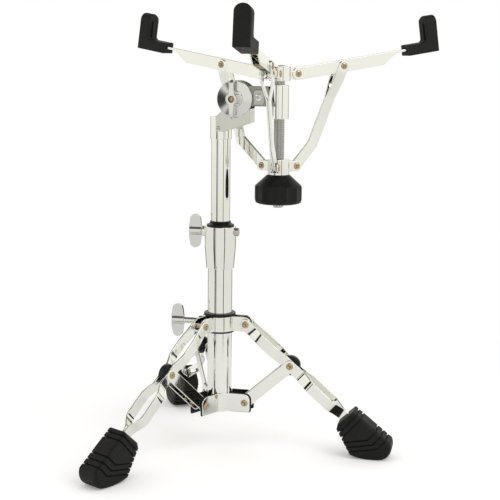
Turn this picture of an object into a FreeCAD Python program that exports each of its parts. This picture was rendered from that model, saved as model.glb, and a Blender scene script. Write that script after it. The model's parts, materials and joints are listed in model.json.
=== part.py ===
"""Snare drum stand: a folding tripod, a height post, a tilter and a three-arm basket.

Millimetres, +Z up. The origin is on the floor under the base tube. +X is the bearing of the first
leg and of the basket's offset from the post. Angles are in degrees.
"""
import FreeCAD, Part
import math
import os
import re
import Sketcher
from FreeCAD import Placement, Rotation, Vector

# Driving dimensions, by the piece that carries them
SIZES = {
    # Clearances
    "running_fit": 0.05,
    "side_gap": 0.12,
    "air_gap": 0.3,
    "cut_overrun": 2.0,
    # Tubes
    "base_tube_diameter": 28.6,
    "tube_wall": 1.5,
    "base_tube_low": 44.6,
    "base_tube_top": 246.0,
    "post_diameter": 22.2,
    "post_low": 140.0,
    "post_top": 386.0,
    "guide_height": 14.0,
    # Linkage of the tripod: leg pivot to brace pivot and brace pivot to hub pivot are equal
    "tripod_pivot_radius": 32.0,
    "hub_pivot_height": 56.0,
    "link_length": 70.2,
    "leg_slope": 41.5,
    "rivet_radius": 2.5,
    "rivet_head_radius": 4.1,
    "rivet_head_height": 1.5,
    # Lower hub
    "hub_height": 21.4,
    "hub_plate_thickness": 1.6,
    "hub_ear_half_gap": 8.4,
    "hub_ear_reach": 6.5,
    "hub_ear_top_radius": 8.0,
    "hub_ear_low_radius": 2.5,
    "hub_liner_thickness": 0.6,
    "hub_liner_lip": 1.4,
    "open_pivot_clearance": 2.6,
    # Leg collar
    "collar_height": 17.5,
    "collar_sleeve_wall": 1.6,
    "collar_flange_diameter": 36.8,
    "collar_flange_height": 3.4,
    "collar_lip_diameter": 34.4,
    "collar_lip_height": 2.0,
    "collar_plate_thickness": 1.8,
    "collar_ear_half_gap": 4.6,
    "collar_ear_reach": 6.0,
    "collar_boss_radius": 6.5,
    "collar_boss_length": 8.0,
    # Legs
    "leg_strip_width": 13.0,
    "leg_strip_thickness": 2.0,
    "leg_pinch": 3.6,
    "leg_upper_bow": 9.2,
    "leg_lower_bow": 10.6,
    "leg_length": 192.0,
    "leg_spacer_radius": 11.5,
    # Braces
    "brace_width": 14.0,
    "brace_thickness": 1.8,
    # Feet
    "foot_start": 155.0,
    "foot_length": 65.0,
    "foot_depth": 40.0,
    "foot_width": 30.0,
    "foot_toe_radius": 15.0,
    "foot_sole_radius": 70.0,
    "foot_groove_depth": 1.3,
    "foot_groove_width": 1.7,
    # Height clamp
    "clamp_low": 213.5,
    "clamp_height": 48.7,
    "clamp_top_diameter": 36.4,
    "clamp_low_diameter": 32.6,
    "clamp_rim_height": 3.0,
    "clamp_boss_radius": 6.2,
    "clamp_boss_reach": 21.0,
    "clamp_screw_drop": 6.6,
    "clamp_stop_radius": 5.0,
    "clamp_stop_reach": 21.6,
    "bushing_flange_diameter": 31.6,
    "bushing_flange_height": 6.2,
    "bushing_skirt": 20.0,
    # Wing screws
    "screw_radius": 3.5,
    "wing_length": 15.0,
    "wing_height": 39.0,
    "wing_thickness": 4.2,
    "wing_hub_radius": 5.0,
    "clamp_wing_reach": 22.0,
    "collar_wing_reach": 43.0,
    # Tilter
    "tilter_offset": 18.5,
    "tilter_rise": 22.0,
    "tilter_plate_thickness": 1.6,
    "tilter_disc_radius": 20.4,
    "tilter_disc_thickness": 3.0,
    "tilter_inner_radius": 18.0,
    "tilter_bolt_radius": 4.0,
    "tilter_nut_radius": 6.4,
    "tilter_nut_thickness": 2.0,
    "tilter_web_drop": 11.0,
    "tilter_plate_drop": 15.0,
    "tilter_plate_reach": 36.0,
    "tilter_corner_drop": 27.0,
    "tilter_plate_back": 3.0,
    "tilter_plate_foot": 6.0,
    "tilter_dish_radius": 18.6,
    "tilter_rivet_rise": 4.0,
    "tilter_rivet_radius": 1.8,
    "tilter_rivet_head_radius": 2.6,
    "tilter_rivet_head_height": 0.9,
    "sleeve_wall": 1.2,
    "sleeve_length": 26.0,
    "sleeve_cap_thickness": 2.0,
    "bracket_height": 22.0,
    "bracket_rise": 3.0,
    "bracket_reach": 64.0,
    "bracket_slant": 8.0,
    "bracket_screw_rise": 2.0,
    "bracket_screw_offset": 45.6,
    "bracket_screw_radius": 2.5,
    "bracket_screw_head_radius": 4.2,
    "bracket_screw_head_height": 1.6,
    "tilter_wing_height": 44.0,
    "tilter_wing_length": 15.0,
    "tilter_wing_thickness": 3.8,
    "tilter_wing_hub_radius": 6.4,
    # Basket
    "basket_offset": 67.0,
    "rod_radius": 6.4,
    "rod_drop": 46.9,
    "rod_end": 1.0,
    "rod_sleeve_radius": 10.7,
    "rod_sleeve_drop": 22.0,
    "rod_sleeve_rise": 16.0,
    "basket_pivot_radius": 21.0,
    "upper_pivot_rise": 28.4,
    "lower_pivot_drop": 75.1,
    "basket_hub_radius": 12.2,
    "basket_hub_height": 16.5,
    "lower_hub_skirt": 1.5,
    "hub_lug_half_width": 3.1,
    "hub_lug_radius": 6.0,
    "basket_ear_thickness": 1.6,
    "basket_ear_half_gap": 2.6,
    "basket_open_clearance": 1.3,
    "basket_rivet_radius": 2.2,
    "basket_rivet_head_radius": 3.9,
    "basket_rivet_head_height": 1.3,
    # Arms
    "arm_rise": 9.0,
    "arm_half_width": 4.8,
    "arm_wall": 1.5,
    "arm_height": 14.0,
    "arm_taper_length": 18.0,
    "arm_taper_gap": 15.0,
    "arm_length": 178.0,
    "arm_blade_thickness": 3.0,
    "arm_mouth": 12.0,
    "strut_place": 57.4,
    # Struts
    "strut_width": 12.0,
    "strut_thickness": 1.8,
    "strut_bend_radius": 42.0,
    "strut_bend_rise": 24.1,
    "left_strut_bend_radius": 53.0,
    "left_strut_bend_rise": 28.1,
    "strut_join_drop": 37.0,
    "strut_fork_drop": 18.0,
    "strut_half_slit": 0.06,
    # Rubber tips
    "tip_grip": 35.0,
    "tip_overhang": 6.0,
    "tip_width": 18.0,
    "tip_drop": 8.5,
    "tip_sleeve_height": 12.5,
    "tip_height": 38.8,
    "tip_upright": 14.0,
    "tip_crown_radius": 7.6,
    "tip_rib_width": 4.0,
    "tip_rib_height": 1.5,
    # Knob
    "knob_radius": 27.0,
    "knob_height": 32.2,
    "knob_neck_radius": 14.0,
    "knob_cone_height": 12.5,
    "knob_chamfer": 3.5,
    "knob_flat_depth": 0.9,
}
# Heights of the head over the floor, and ends of an arm's side walls, from the sizes above
TIED_PLACES = {
    "tilter_height": "post_top + tilter_rise",
    "tilter_web_top": "tilter_height - tilter_web_drop",
    "tilter_plate_low": "post_top - tilter_plate_drop",
    "tilter_plate_corner": "tilter_height - tilter_corner_drop",
    "rod_sleeve_low": "tilter_height - rod_sleeve_drop",
    "rod_sleeve_top": "tilter_height + rod_sleeve_rise",
    "upper_pivot_height": "tilter_height + upper_pivot_rise",
    "lower_pivot_height": "tilter_height - lower_pivot_drop",
    "rod_low": "lower_pivot_height - rod_drop",
    "strut_bend_height": "lower_pivot_height + strut_bend_rise",
    "left_strut_bend_height": "lower_pivot_height + left_strut_bend_rise",
    "arm_taper_end": "arm_length - tip_grip - arm_taper_gap",
    "arm_wall_end": "arm_taper_end - arm_taper_length",
}
LEG_BEARINGS = (0, 120, 240)
ARM_BEARINGS = (36, 156, 270)
KNOB_FLATS = 12
SIDES = {"left": 1, "right": -1}

# Upper bends of a leg strip, as shares of the link length from the leg pivot
UPPER_BEND_SHARES = {"ear_end": 0.13, "bow_start": 0.34, "bow_end": 0.66, "pinch_start": 0.86}
# Lower bends of a leg strip, as shares of the run from the brace pivot to the foot
LOWER_BEND_SHARES = {"pinch_end": 0.20696, "bow_start": 0.35597, "bow_end": 0.7616, "foot_flat": 0.91889}
# Outline of a foot, as shares of its length and depth from its upper end on the leg's line
FOOT_OUTLINE_SHARES = {
    "top_back": (0.04, 0.38), "top_front": (0.885, 0.45), "toe": (0.95, -0.18),
    "heel": (0.535, -0.65), "low_back": (0.054, -0.37), "back": (0.0, -0.22),
}
# Grooves of a foot: where each crosses the top, and how far its lower half leans towards the ankle
FOOT_GROOVE_SHARES = ((0.11, 0.0), (0.21, 0.0), (0.55, 0.52), (0.67, 0.52), (0.78, 0.52))
FOOT_GROOVE_KNEE_SHARE = 0.06
# A wing's taper, hub and round ends, as shares of its length, and where its ends spring, as one of its height
WING_TAPER_SHARE = 0.13
WING_HUB_SHARE = 0.94
WING_SPRING_SHARE = 0.42
WING_CROWN_SHARE = 0.43

DOC = FreeCAD.newDocument("snare_stand")
SHEET = DOC.addObject("Spreadsheet::Sheet", "Sizes")
CELLS = {**SIZES, **{alias: f"={text}" for alias, text in TIED_PLACES.items()}}
for row, (alias, cell) in enumerate(CELLS.items(), start=1):
    SHEET.set(f"A{row}", alias)
    SHEET.set(f"B{row}", str(cell))
    SHEET.setAlias(f"B{row}", alias)
DOC.recompute()

X_AXIS, Y_AXIS, Z_AXIS = Vector(1, 0, 0), Vector(0, 1, 0), Vector(0, 0, 1)
ALONG_X = Rotation(Y_AXIS, 90)
ALONG_Y = Rotation(X_AXIS, -90)
PARTS = []


def value(text):
    """Number that an expression of sizes comes to."""
    return float(SHEET.evalExpression(str(text)))


def bound(text):
    """The expression with each size named in the sheet."""
    return re.sub(r"[a-z_]{3,}", lambda m: f"Sizes.{m[0]}" if m[0] in CELLS else m[0], str(text))


def bind(item, **expressions):
    """Tie properties of an object to expressions of sizes."""
    for name, text in expressions.items():
        item.setExpression(name, bound(text))
    return item


def locate(item, x=0, y=0, z=0, turn=None):
    """Turn a primitive and tie its place to expressions of sizes."""
    item.Placement = Placement(Vector(), turn or Rotation())
    for axis, text in zip("xyz", (x, y, z)):
        item.setExpression(f"Placement.Base.{axis}", bound(text))
    return item


def cylinder(radius, height, x=0, y=0, z=0, turn=None):
    """Round bar that starts at the given place."""
    item = DOC.addObject("Part::Cylinder", "Bar")
    return locate(bind(item, Radius=radius, Height=height), x, y, z, turn)


def across(radius, half_width, x=0, z=0):
    """Round bar along Y that reaches as far to each side of the middle plane."""
    return cylinder(radius, f"2 * ({half_width})", x=x, y=f"-({half_width})", z=z, turn=ALONG_Y)


def way(radius, half_width, x=0, z=0):
    """Round hole along Y, past a half width on each side of the middle plane."""
    return across(radius, f"{half_width} + cut_overrun", x, z)


def cone(low_radius, high_radius, height, x=0, y=0, z=0, turn=None):
    """Tapered bar that starts at the given place."""
    item = DOC.addObject("Part::Cone", "Taper")
    return locate(bind(item, Radius1=low_radius, Radius2=high_radius, Height=height), x, y, z, turn)


def box(length, width, height, x=0, y=0, z=0, turn=None):
    """Block whose lowest corner is at the given place."""
    item = DOC.addObject("Part::Box", "Block")
    return locate(bind(item, Length=length, Width=width, Height=height), x, y, z, turn)


def fuse(*items):
    """Pieces joined into one."""
    joined = DOC.addObject("Part::MultiFuse", "Joined")
    joined.Shapes = list(items)
    joined.Refine = True
    return joined


def cut(base, *tools):
    """A piece with others taken out of it."""
    tool = tools[0] if len(tools) == 1 else fuse(*tools)
    left = DOC.addObject("Part::Cut", "Left")
    left.Base, left.Tool = base, tool
    left.Refine = True
    return left


def common(first, second):
    """What two pieces share."""
    shared = DOC.addObject("Part::MultiCommon", "Shared")
    shared.Shapes = [first, second]
    return shared


def group(items):
    """Separate solids kept in one piece."""
    held = DOC.addObject("Part::Compound", "Group")
    held.Links = list(items)
    return held


def turned(item, bearing):
    """A copy of a piece turned about the stand's axis."""
    copy = DOC.addObject("Part::Compound", "Turned")
    copy.Links = [item]
    copy.Placement = Placement(Vector(), Rotation(Z_AXIS, bearing))
    return copy


def keep(item, label, place=None):
    """Name a finished sub-part and put it in its place."""
    item.Label = label
    if place is not None:
        item.Placement = place
    PARTS.append(item)
    return item


def outline(body, role, points):
    """Closed outline on one of a body's planes; a point's third item is the radius of the arc after it.

    A positive radius turns to the left along the arc, a negative one to the right.
    """
    plane = next(f for f in body.Origin.OriginFeatures if f.Role == role)
    sketch = body.newObject("Sketcher::SketchObject", "Outline")
    sketch.AttachmentSupport = [(plane, "")]
    sketch.MapMode = "FlatFace"
    spots = [Vector(value(p[0]), value(p[1]), 0) for p in points]
    ends = []
    for index, point in enumerate(points):
        start, stop = spots[index], spots[(index + 1) % len(spots)]
        if len(point) == 2:
            ends.append((sketch.addGeometry(Part.LineSegment(start, stop)), 1, 2))
            continue
        bend = value(point[2])
        chord = stop - start
        rise = math.sqrt(bend ** 2 - (chord.Length / 2) ** 2)
        left = Vector(-chord.y, chord.x, 0).normalize()
        centre = (start + stop) / 2 + left * math.copysign(rise, bend)
        angles = [math.atan2(p.y - centre.y, p.x - centre.x) for p in (start, stop)]
        first, last = angles if bend > 0 else reversed(angles)
        circle = Part.Circle(centre, Z_AXIS, abs(bend))
        arc = sketch.addGeometry(Part.ArcOfCircle(circle, first, last))
        ends.append((arc, 1, 2) if bend > 0 else (arc, 2, 1))
        radius = sketch.addConstraint(Sketcher.Constraint("Radius", arc, abs(bend)))
        sketch.renameConstraint(radius, f"bend_{index}")
        sketch.setExpression(f"Constraints.bend_{index}", bound(f"abs({point[2]})"))
    for index, (edge, start, stop) in enumerate(ends):
        after, after_start, _ = ends[(index + 1) % len(ends)]
        sketch.addConstraint(Sketcher.Constraint("Coincident", edge, stop, after, after_start))
        for axis in "XY":
            text = points[index]["XY".index(axis)]
            spot = sketch.addConstraint(
                Sketcher.Constraint(f"Distance{axis}", -1, 1, edge, start, value(text)))
            sketch.renameConstraint(spot, f"point_{index}_{axis}")
            sketch.setExpression(f"Constraints.point_{index}_{axis}", bound(text))
    return sketch


def plate(role, points, thickness):
    """Flat piece of an outline, with its thickness to both sides of the plane."""
    body = DOC.addObject("PartDesign::Body", "Plate")
    pad = body.newObject("PartDesign::Pad", "Thickness")
    pad.Profile = outline(body, role, points)
    pad.SideType = "Symmetric"
    bind(pad, Length=thickness)
    return body


def turning(points):
    """Round piece: an outline in radius and height turned about the upright axis."""
    body = DOC.addObject("PartDesign::Body", "Turning")
    spin = body.newObject("PartDesign::Revolution", "Spin")
    sketch = outline(body, "XZ_Plane", points)
    spin.Profile = sketch
    spin.ReferenceAxis = (sketch, ["V_Axis"])
    spin.Angle = 360
    return body


def rivet(half_grip, radius, head_radius, head_height):
    """Pin along Y with a domed head on each end, centred on the origin."""
    dome = f"(({head_radius})^2 + ({head_height})^2) / (2 * ({head_height}))"
    pin = across(radius, f"{half_grip} + running_fit")
    heads = []
    for side in SIDES.values():
        head = DOC.addObject("Part::Sphere", "Dome")
        bind(head, Radius=dome, Angle1=f"asin(1 - ({head_height}) / ({dome}))")
        seat = f"{side} * ({half_grip} + running_fit + {head_height} - {dome})"
        heads.append(locate(head, y=seat, turn=Rotation(X_AXIS, -90 * side)))
    return fuse(pin, *heads)


def along(bearing, radius, height, slope=0):
    """Frame whose X runs out along a bearing, tipped down by a slope, from a place on that bearing."""
    turn = Rotation(Z_AXIS, bearing)
    return Placement(turn.multVec(Vector(radius, 0, height)), turn * Rotation(Y_AXIS, slope))


LEG_PIVOT = "(hub_pivot_height + 2 * link_length * sin(leg_slope))"
TUBE = "(base_tube_diameter / 2)"
POST = "(post_diameter / 2)"
TUBE_BORE = f"({TUBE} - tube_wall)"


def tube(label, radius, low, top):
    """Straight tube of the common wall."""
    bar = cylinder(radius, f"{top} - {low}", z=low)
    bore = cylinder(f"{radius} - tube_wall", f"{top} - {low} + 2 * cut_overrun", z=f"{low} - cut_overrun")
    return keep(cut(bar, bore), label)


def ear_corners(end, height, corners, y, depth):
    """Tools that round the upper and the lower corner of an ear's end."""
    tools = []
    for side, radius in zip(SIDES.values(), corners):
        x, z = f"({end} - {radius})", f"({height} / 2 - {radius})"
        low = z if side > 0 else f"-({height} / 2 + cut_overrun)"
        block = box(f"{radius} + cut_overrun", depth, f"{radius} + cut_overrun", x=x, y=y, z=low)
        tools.append(cut(block, cylinder(radius, depth, x=x, y=y, z=f"{side} * {z}", turn=ALONG_Y)))
    return tools


def ear_plate(inner_radius, thickness, half_gap, reach, height, corners):
    """Pressed plate round a third of a tube, with an ear at each end beside a leg's bearing.

    It lies between the first two legs, with its middle at height zero. The corners are the radii of an
    ear's upper and lower corner.
    """
    outer = f"({inner_radius} + {thickness})"
    face, back = f"({half_gap})", f"({half_gap} + {thickness})"
    end = f"(tripod_pivot_radius + {reach})"
    face_root, back_root = f"sqrt({inner_radius}^2 - {face}^2)", f"sqrt({outer}^2 - {back}^2)"

    def mirrored(x, y):
        """The same point beside the second leg's bearing."""
        bearing = LEG_BEARINGS[1]
        return (f"({x}) * cos({bearing}) + ({y}) * sin({bearing})",
                f"({x}) * sin({bearing}) - ({y}) * cos({bearing})")

    points = [
        (end, face), (end, back), (back_root, back, outer), mirrored(back_root, back), mirrored(end, back),
        mirrored(end, face), (*mirrored(face_root, face), f"-{inner_radius}"), (face_root, face),
    ]
    tools = []
    for bearing, side in ((LEG_BEARINGS[0], 1), (LEG_BEARINGS[1], -1)):
        start = f"({face} - cut_overrun)" if side > 0 else f"-({back} + cut_overrun)"
        depth = f"{thickness} + 2 * cut_overrun"
        hole = cylinder("rivet_radius + running_fit", depth, x="tripod_pivot_radius", y=start, turn=ALONG_Y)
        tools += [turned(tool, bearing) for tool in [*ear_corners(end, height, corners, start, depth), hole]]
    return cut(plate("XY_Plane", points, height), *tools)


def at_height(text):
    """Place straight above the origin."""
    return Placement(Vector(0, 0, value(text)), Rotation())


def make_lower_hub():
    """Three plates clasp the base tube, with nylon liners in their ears and a rivet through each pair."""
    low = "hub_pivot_height"
    corners = ("hub_ear_top_radius", "hub_ear_low_radius")
    sizes = (TUBE, "hub_plate_thickness", "hub_ear_half_gap", "hub_ear_reach", "hub_height")
    keep(group(turned(ear_plate(*sizes, corners), bearing) for bearing in LEG_BEARINGS), "brace_hub_plates",
         at_height(low))
    reach = "(hub_ear_reach + hub_liner_lip)"
    height = "(hub_height + hub_liner_lip)"
    start = f"sqrt(({TUBE} + hub_plate_thickness)^2 - (hub_ear_half_gap - hub_liner_thickness)^2)"
    liners = []
    for bearing in LEG_BEARINGS:
        for side in SIDES.values():
            inner = "hub_ear_half_gap - hub_liner_thickness" if side > 0 else "-hub_ear_half_gap"
            end, depth = f"(tripod_pivot_radius + {reach})", "hub_liner_thickness + 2 * cut_overrun"
            sheet = box(f"{end} - {start}", "hub_liner_thickness", height, x=start, y=inner,
                        z=f"-{height} / 2")
            outside = f"{inner} - cut_overrun"
            hole = cylinder("rivet_radius + running_fit", depth, x="tripod_pivot_radius", y=outside,
                            turn=ALONG_Y)
            tools = ear_corners(end, height, corners, outside, depth)
            liners.append(turned(cut(sheet, hole, *tools), bearing))
    keep(group(liners), "brace_hub_liners", at_height(low))
    grip = "(hub_ear_half_gap + hub_plate_thickness)"
    keep(ring_of_rivets(grip), "brace_hub_rivets", at_height(low))


def ring_of_rivets(half_grip):
    """A rivet across each leg's bearing at the tripod's pivot radius."""
    pins = []
    for bearing in LEG_BEARINGS:
        pin = rivet(half_grip, "rivet_radius", "rivet_head_radius", "rivet_head_height")
        pin.Placement = along(bearing, value("tripod_pivot_radius"), 0)
        pins.append(pin)
    return group(pins)


COLLAR_SLEEVE = f"({TUBE} + running_fit + collar_sleeve_wall)"


def make_leg_collar():
    """Nylon sleeve that slides on the base tube, three plates round it, and the boss of its wing screw."""
    low, top = "-collar_height / 2", "collar_height / 2"
    sleeve = fuse(cylinder(COLLAR_SLEEVE, "collar_height", z=low),
                  cylinder("collar_flange_diameter / 2", "collar_flange_height", z=top),
                  cylinder("collar_lip_diameter / 2", "collar_lip_height", z=f"{low} - collar_lip_height"))
    bore = cylinder(f"{TUBE} + running_fit", "collar_height + 2 * collar_flange_height + 2 * cut_overrun",
                    z=f"{low} - collar_flange_height - cut_overrun")
    screw_way = cylinder("screw_radius + running_fit", "collar_flange_diameter",
                         x="-collar_flange_diameter", turn=ALONG_X)
    keep(cut(sleeve, bore, screw_way), "leg_collar_sleeve", at_height(LEG_PIVOT))
    sizes = (COLLAR_SLEEVE, "collar_plate_thickness", "collar_ear_half_gap", "collar_ear_reach",
             "collar_height")
    corners = ("collar_height / 2", "collar_height / 2")
    plates = [turned(ear_plate(*sizes, corners), bearing) for bearing in LEG_BEARINGS]
    boss_root = f"({COLLAR_SLEEVE} + collar_plate_thickness / 2)"
    boss = cylinder("collar_boss_radius", "collar_boss_length + collar_plate_thickness / 2",
                    x=f"-{boss_root} - collar_boss_length", turn=ALONG_X)
    screw_way = cylinder("screw_radius + running_fit", "collar_flange_diameter",
                         x="-collar_flange_diameter", turn=ALONG_X)
    plates[1] = cut(fuse(plates[1], boss), screw_way)
    keep(group(plates), "leg_collar_plates", at_height(LEG_PIVOT))
    grip = f"({LEG_INNER} + leg_strip_thickness)"
    keep(ring_of_rivets(grip), "leg_collar_rivets", at_height(LEG_PIVOT))


LEG_INNER = "(collar_ear_half_gap + collar_plate_thickness + side_gap)"
BRACE_INNER = "(leg_pinch + leg_strip_thickness + side_gap)"


def leg_strip(side):
    """Wavy flat strip of a leg: bowed out twice, pinched at the brace pivot and flat in the foot."""
    upper, lower = UPPER_BEND_SHARES, LOWER_BEND_SHARES
    upper_bows = [("0", LEG_INNER), (upper["ear_end"], LEG_INNER), (upper["bow_start"], "leg_upper_bow"),
                  (upper["bow_end"], "leg_upper_bow"), (upper["pinch_start"], "leg_pinch")]
    lower_bows = [(lower["pinch_end"], "leg_pinch"), (lower["bow_start"], "leg_lower_bow"),
                  (lower["bow_end"], "leg_lower_bow"), (lower["foot_flat"], "side_gap / 2")]
    inner = [(f"{share} * link_length", f"{side} * {bow}") for share, bow in upper_bows]
    inner += [(f"link_length + {share} * (foot_start - link_length)", f"{side} * {bow}")
              for share, bow in lower_bows]
    inner.append(("leg_length", f"{side} * side_gap / 2"))
    outer = [(x, f"{y} + {side} * leg_strip_thickness") for x, y in reversed(inner)]
    band = plate("XY_Plane", inner + outer, "leg_strip_width")
    start = LEG_INNER if side > 0 else f"-({LEG_INNER} + leg_strip_thickness)"
    nose = cylinder("leg_strip_width / 2", "leg_strip_thickness", y=start, turn=ALONG_Y)
    holes = [way("rivet_radius + running_fit", "leg_upper_bow", x=x) for x in ("0", "link_length")]
    return cut(fuse(band, nose), *holes)


def make_legs():
    """Three legs: two strips, a spacer and a rivet at the brace pivot, and a rubber foot."""
    for number, bearing in enumerate(LEG_BEARINGS, start=1):
        place = along(bearing, value("tripod_pivot_radius"), value(LEG_PIVOT), value("leg_slope"))
        for name, side in SIDES.items():
            keep(leg_strip(side), f"leg_{number}_{name}_strip", place)
        half_width = "leg_pinch - side_gap / 2"
        spacer = cut(across("leg_spacer_radius", half_width, x="link_length"),
                     way("rivet_radius + running_fit", half_width, x="link_length"))
        keep(spacer, f"leg_{number}_spacer", place)
        pin = rivet(f"({BRACE_INNER} + brace_thickness + side_gap)", "rivet_radius", "rivet_head_radius",
                    "rivet_head_height")
        pivot = Placement(Vector(value("link_length"), 0, 0), Rotation())
        keep(pin, f"leg_{number}_rivet", place * pivot)
        keep(foot(place), f"foot_{number}")
        make_brace(number, bearing)


def make_brace(number, bearing):
    """Two flat strips from the leg to the lower hub, with wide hub holes, as the linkage is open there."""
    strips = []
    for side in SIDES.values():
        start = BRACE_INNER if side > 0 else f"-({BRACE_INNER} + brace_thickness)"
        flat = box("link_length", "brace_thickness", "brace_width", y=start, z="-brace_width / 2")
        ends = [cylinder("brace_width / 2", "brace_thickness", x=x, y=start, turn=ALONG_Y)
                for x in ("0", "link_length")]
        holes = [cylinder(radius, "brace_thickness + 2 * cut_overrun", x=x, y=f"{start} - cut_overrun",
                          turn=ALONG_Y)
                 for x, radius in (("0", "rivet_radius + open_pivot_clearance"),
                                   ("link_length", "rivet_radius + running_fit"))]
        strips.append(cut(fuse(flat, *ends), *holes))
    place = along(bearing, value("tripod_pivot_radius"), value("hub_pivot_height"), -value("leg_slope"))
    keep(group(strips), f"brace_{number}", place)


def foot_outline(inset):
    """Side outline of a foot in the leg's frame, drawn in by an inset."""
    shares = FOOT_OUTLINE_SHARES
    lean = {"top_back": (1, -1), "top_front": (-1, -1), "toe": (-1, 1), "heel": (0, 1), "low_back": (1, 1),
            "back": (1, 0)}
    points = {name: (f"foot_start + {along_share} * foot_length + {lean[name][0]} * {inset}",
                     f"{across_share} * foot_depth + {lean[name][1]} * {inset}")
              for name, (along_share, across_share) in shares.items()}
    points["toe"] = (*points["toe"], "foot_toe_radius")
    points["heel"] = (*points["heel"], "foot_sole_radius")
    order = ["low_back", "heel", "toe", "top_front", "top_back", "back"]
    return [points[name] for name in order]


def foot(place):
    """Rubber foot: a ribbed boot on the leg's end, cut flat where it stands."""
    skin = plate("XZ_Plane", foot_outline("0"), "foot_width")
    core = plate("XZ_Plane", foot_outline("foot_groove_depth"), "foot_width - 2 * foot_groove_depth")
    grooves = []
    for top_share, lean_share in FOOT_GROOVE_SHARES:
        top = f"foot_start + {top_share} * foot_length"
        low = f"foot_start + ({top_share} - {lean_share}) * foot_length"
        knee = f"{FOOT_GROOVE_KNEE_SHARE} * foot_depth"
        reach = "foot_depth"
        points = [(top, reach), (top, knee), (low, f"-{reach}"),
                  (f"{low} + foot_groove_width", f"-{reach}"), (f"{top} + foot_groove_width", knee),
                  (f"{top} + foot_groove_width", reach)]
        grooves.append(plate("XZ_Plane", points, "foot_width + 2 * cut_overrun"))
    socket = box("leg_length - foot_start + side_gap + cut_overrun", "2 * (leg_strip_thickness + side_gap)",
                 "leg_strip_width + 2 * side_gap", x="foot_start - cut_overrun",
                 y="-(leg_strip_thickness + side_gap)", z="-leg_strip_width / 2 - side_gap")
    boot = cut(fuse(core, cut(skin, *grooves)), socket)
    boot.Placement = place
    floor = box("4 * foot_start", "4 * foot_start", "foot_depth", x="-2 * foot_start", y="-2 * foot_start",
                z="-foot_depth")
    return cut(boot, floor)


def make_height_clamp():
    """Tapered collar on the base tube's top, with the nylon bushing that guides the post."""
    low, top = "clamp_low", "(clamp_low + clamp_height)"
    screw = f"({top} - clamp_screw_drop)"
    wide, narrow = "clamp_top_diameter / 2", "clamp_low_diameter / 2"
    shell = turning([("0", low), (narrow, low), (narrow, f"{low} + clamp_rim_height"),
                     (wide, f"{top} - clamp_height / 2"), (wide, top), ("0", top)])
    boss = cylinder("clamp_boss_radius", f"clamp_boss_reach - {TUBE}", x="-clamp_boss_reach", z=screw,
                    turn=ALONG_X)
    stop = cylinder("clamp_stop_radius", f"{wide} - {TUBE}", x=TUBE, z=screw, turn=ALONG_X)
    bore = cylinder(TUBE, "clamp_height + 2 * cut_overrun", z=f"{low} - cut_overrun")
    screw_way = cylinder("screw_radius + running_fit", "clamp_boss_reach", z=screw, turn=ALONG_X,
                         x="-clamp_boss_reach - cut_overrun")
    keep(cut(fuse(shell, boss), bore, screw_way, stop), "height_clamp")
    seat = f"({TUBE} + side_gap)"
    stud = cylinder("clamp_stop_radius - running_fit", f"clamp_stop_reach - {seat}", x=seat, z=screw,
                    turn=ALONG_X)
    keep(stud, "height_clamp_stud")
    guide = f"({TUBE_BORE} - running_fit)"
    bushing = fuse(cylinder(guide, "bushing_skirt", z="base_tube_top - bushing_skirt"),
                   cylinder(f"{TUBE} - running_fit", f"{top} - base_tube_top", z="base_tube_top"),
                   cylinder("bushing_flange_diameter / 2", "bushing_flange_height", z=top))
    hole = cylinder(f"{POST} + running_fit", "clamp_height + bushing_skirt + bushing_flange_height",
                    z="base_tube_top - bushing_skirt - cut_overrun")
    keep(cut(bushing, hole), "height_bushing")


def wing_screw(label, shank, tip, reach, wing, place):
    """Wing screw along +X: wings from a reach on the -X side, end at a tip place.

    The wing is given by its length, height, thickness and hub radius.
    """
    length, height, thickness, hub_radius = wing
    start = f"({reach})"
    bar = cylinder(shank, f"{tip} + {start} + {length} / 2", x=f"-{start} - {length} / 2", turn=ALONG_X)
    hub_length = f"{WING_HUB_SHARE} * {length}"
    hub = cylinder(hub_radius, hub_length, x=f"-{start} - {hub_length}", turn=ALONG_X)
    taper, spring = f"({WING_TAPER_SHARE} * {length})", f"({WING_SPRING_SHARE} * {height})"
    near, far = f"-({start} + {taper})", f"-({start} + {length} - {taper})"
    flank, crown = f"({spring}^2 + {taper}^2) / (2 * {taper})", f"({WING_CROWN_SHARE} * {length})"
    butterfly = plate("XZ_Plane", [(far, f"-{spring}", crown), (near, f"-{spring}", flank),
                                   (near, spring, crown), (far, spring, flank)], thickness)
    return keep(fuse(bar, hub, butterfly), label, place)


def make_wing_screws():
    """Screws that lock the height clamp and the leg collar."""
    wing = ("wing_length", "wing_height", "wing_thickness", "wing_hub_radius")
    tip_place = f"-({TUBE} + air_gap)"
    for label, reach, height in (
            ("height_wing_screw", "clamp_wing_reach", "clamp_low + clamp_height - clamp_screw_drop"),
            ("leg_wing_screw", "collar_wing_reach", LEG_PIVOT)):
        wing_screw(label, "screw_radius", tip_place, reach, wing, at_height(height))


def make_post():
    """Upper tube and the nylon guide that runs on its lower end inside the base tube."""
    bar = cylinder(POST, "post_top - post_low", z="post_low")
    bore = cylinder(f"{POST} - tube_wall", "post_top - post_low + 2 * cut_overrun",
                    z="post_low - cut_overrun")
    keep(cut(bar, bore, way("tilter_rivet_radius + running_fit", POST, z=TILTER_RIVET)), "upper_tube")
    ring = cut(cylinder(f"{TUBE_BORE} - running_fit", "guide_height", z="post_low - guide_height / 2"),
               cylinder(f"{POST} + running_fit", "guide_height", z="post_low"),
               cylinder(f"{POST} - tube_wall", "guide_height + 2 * cut_overrun",
                        z="post_low - guide_height / 2 - cut_overrun"))
    keep(ring, "post_guide")


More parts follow.
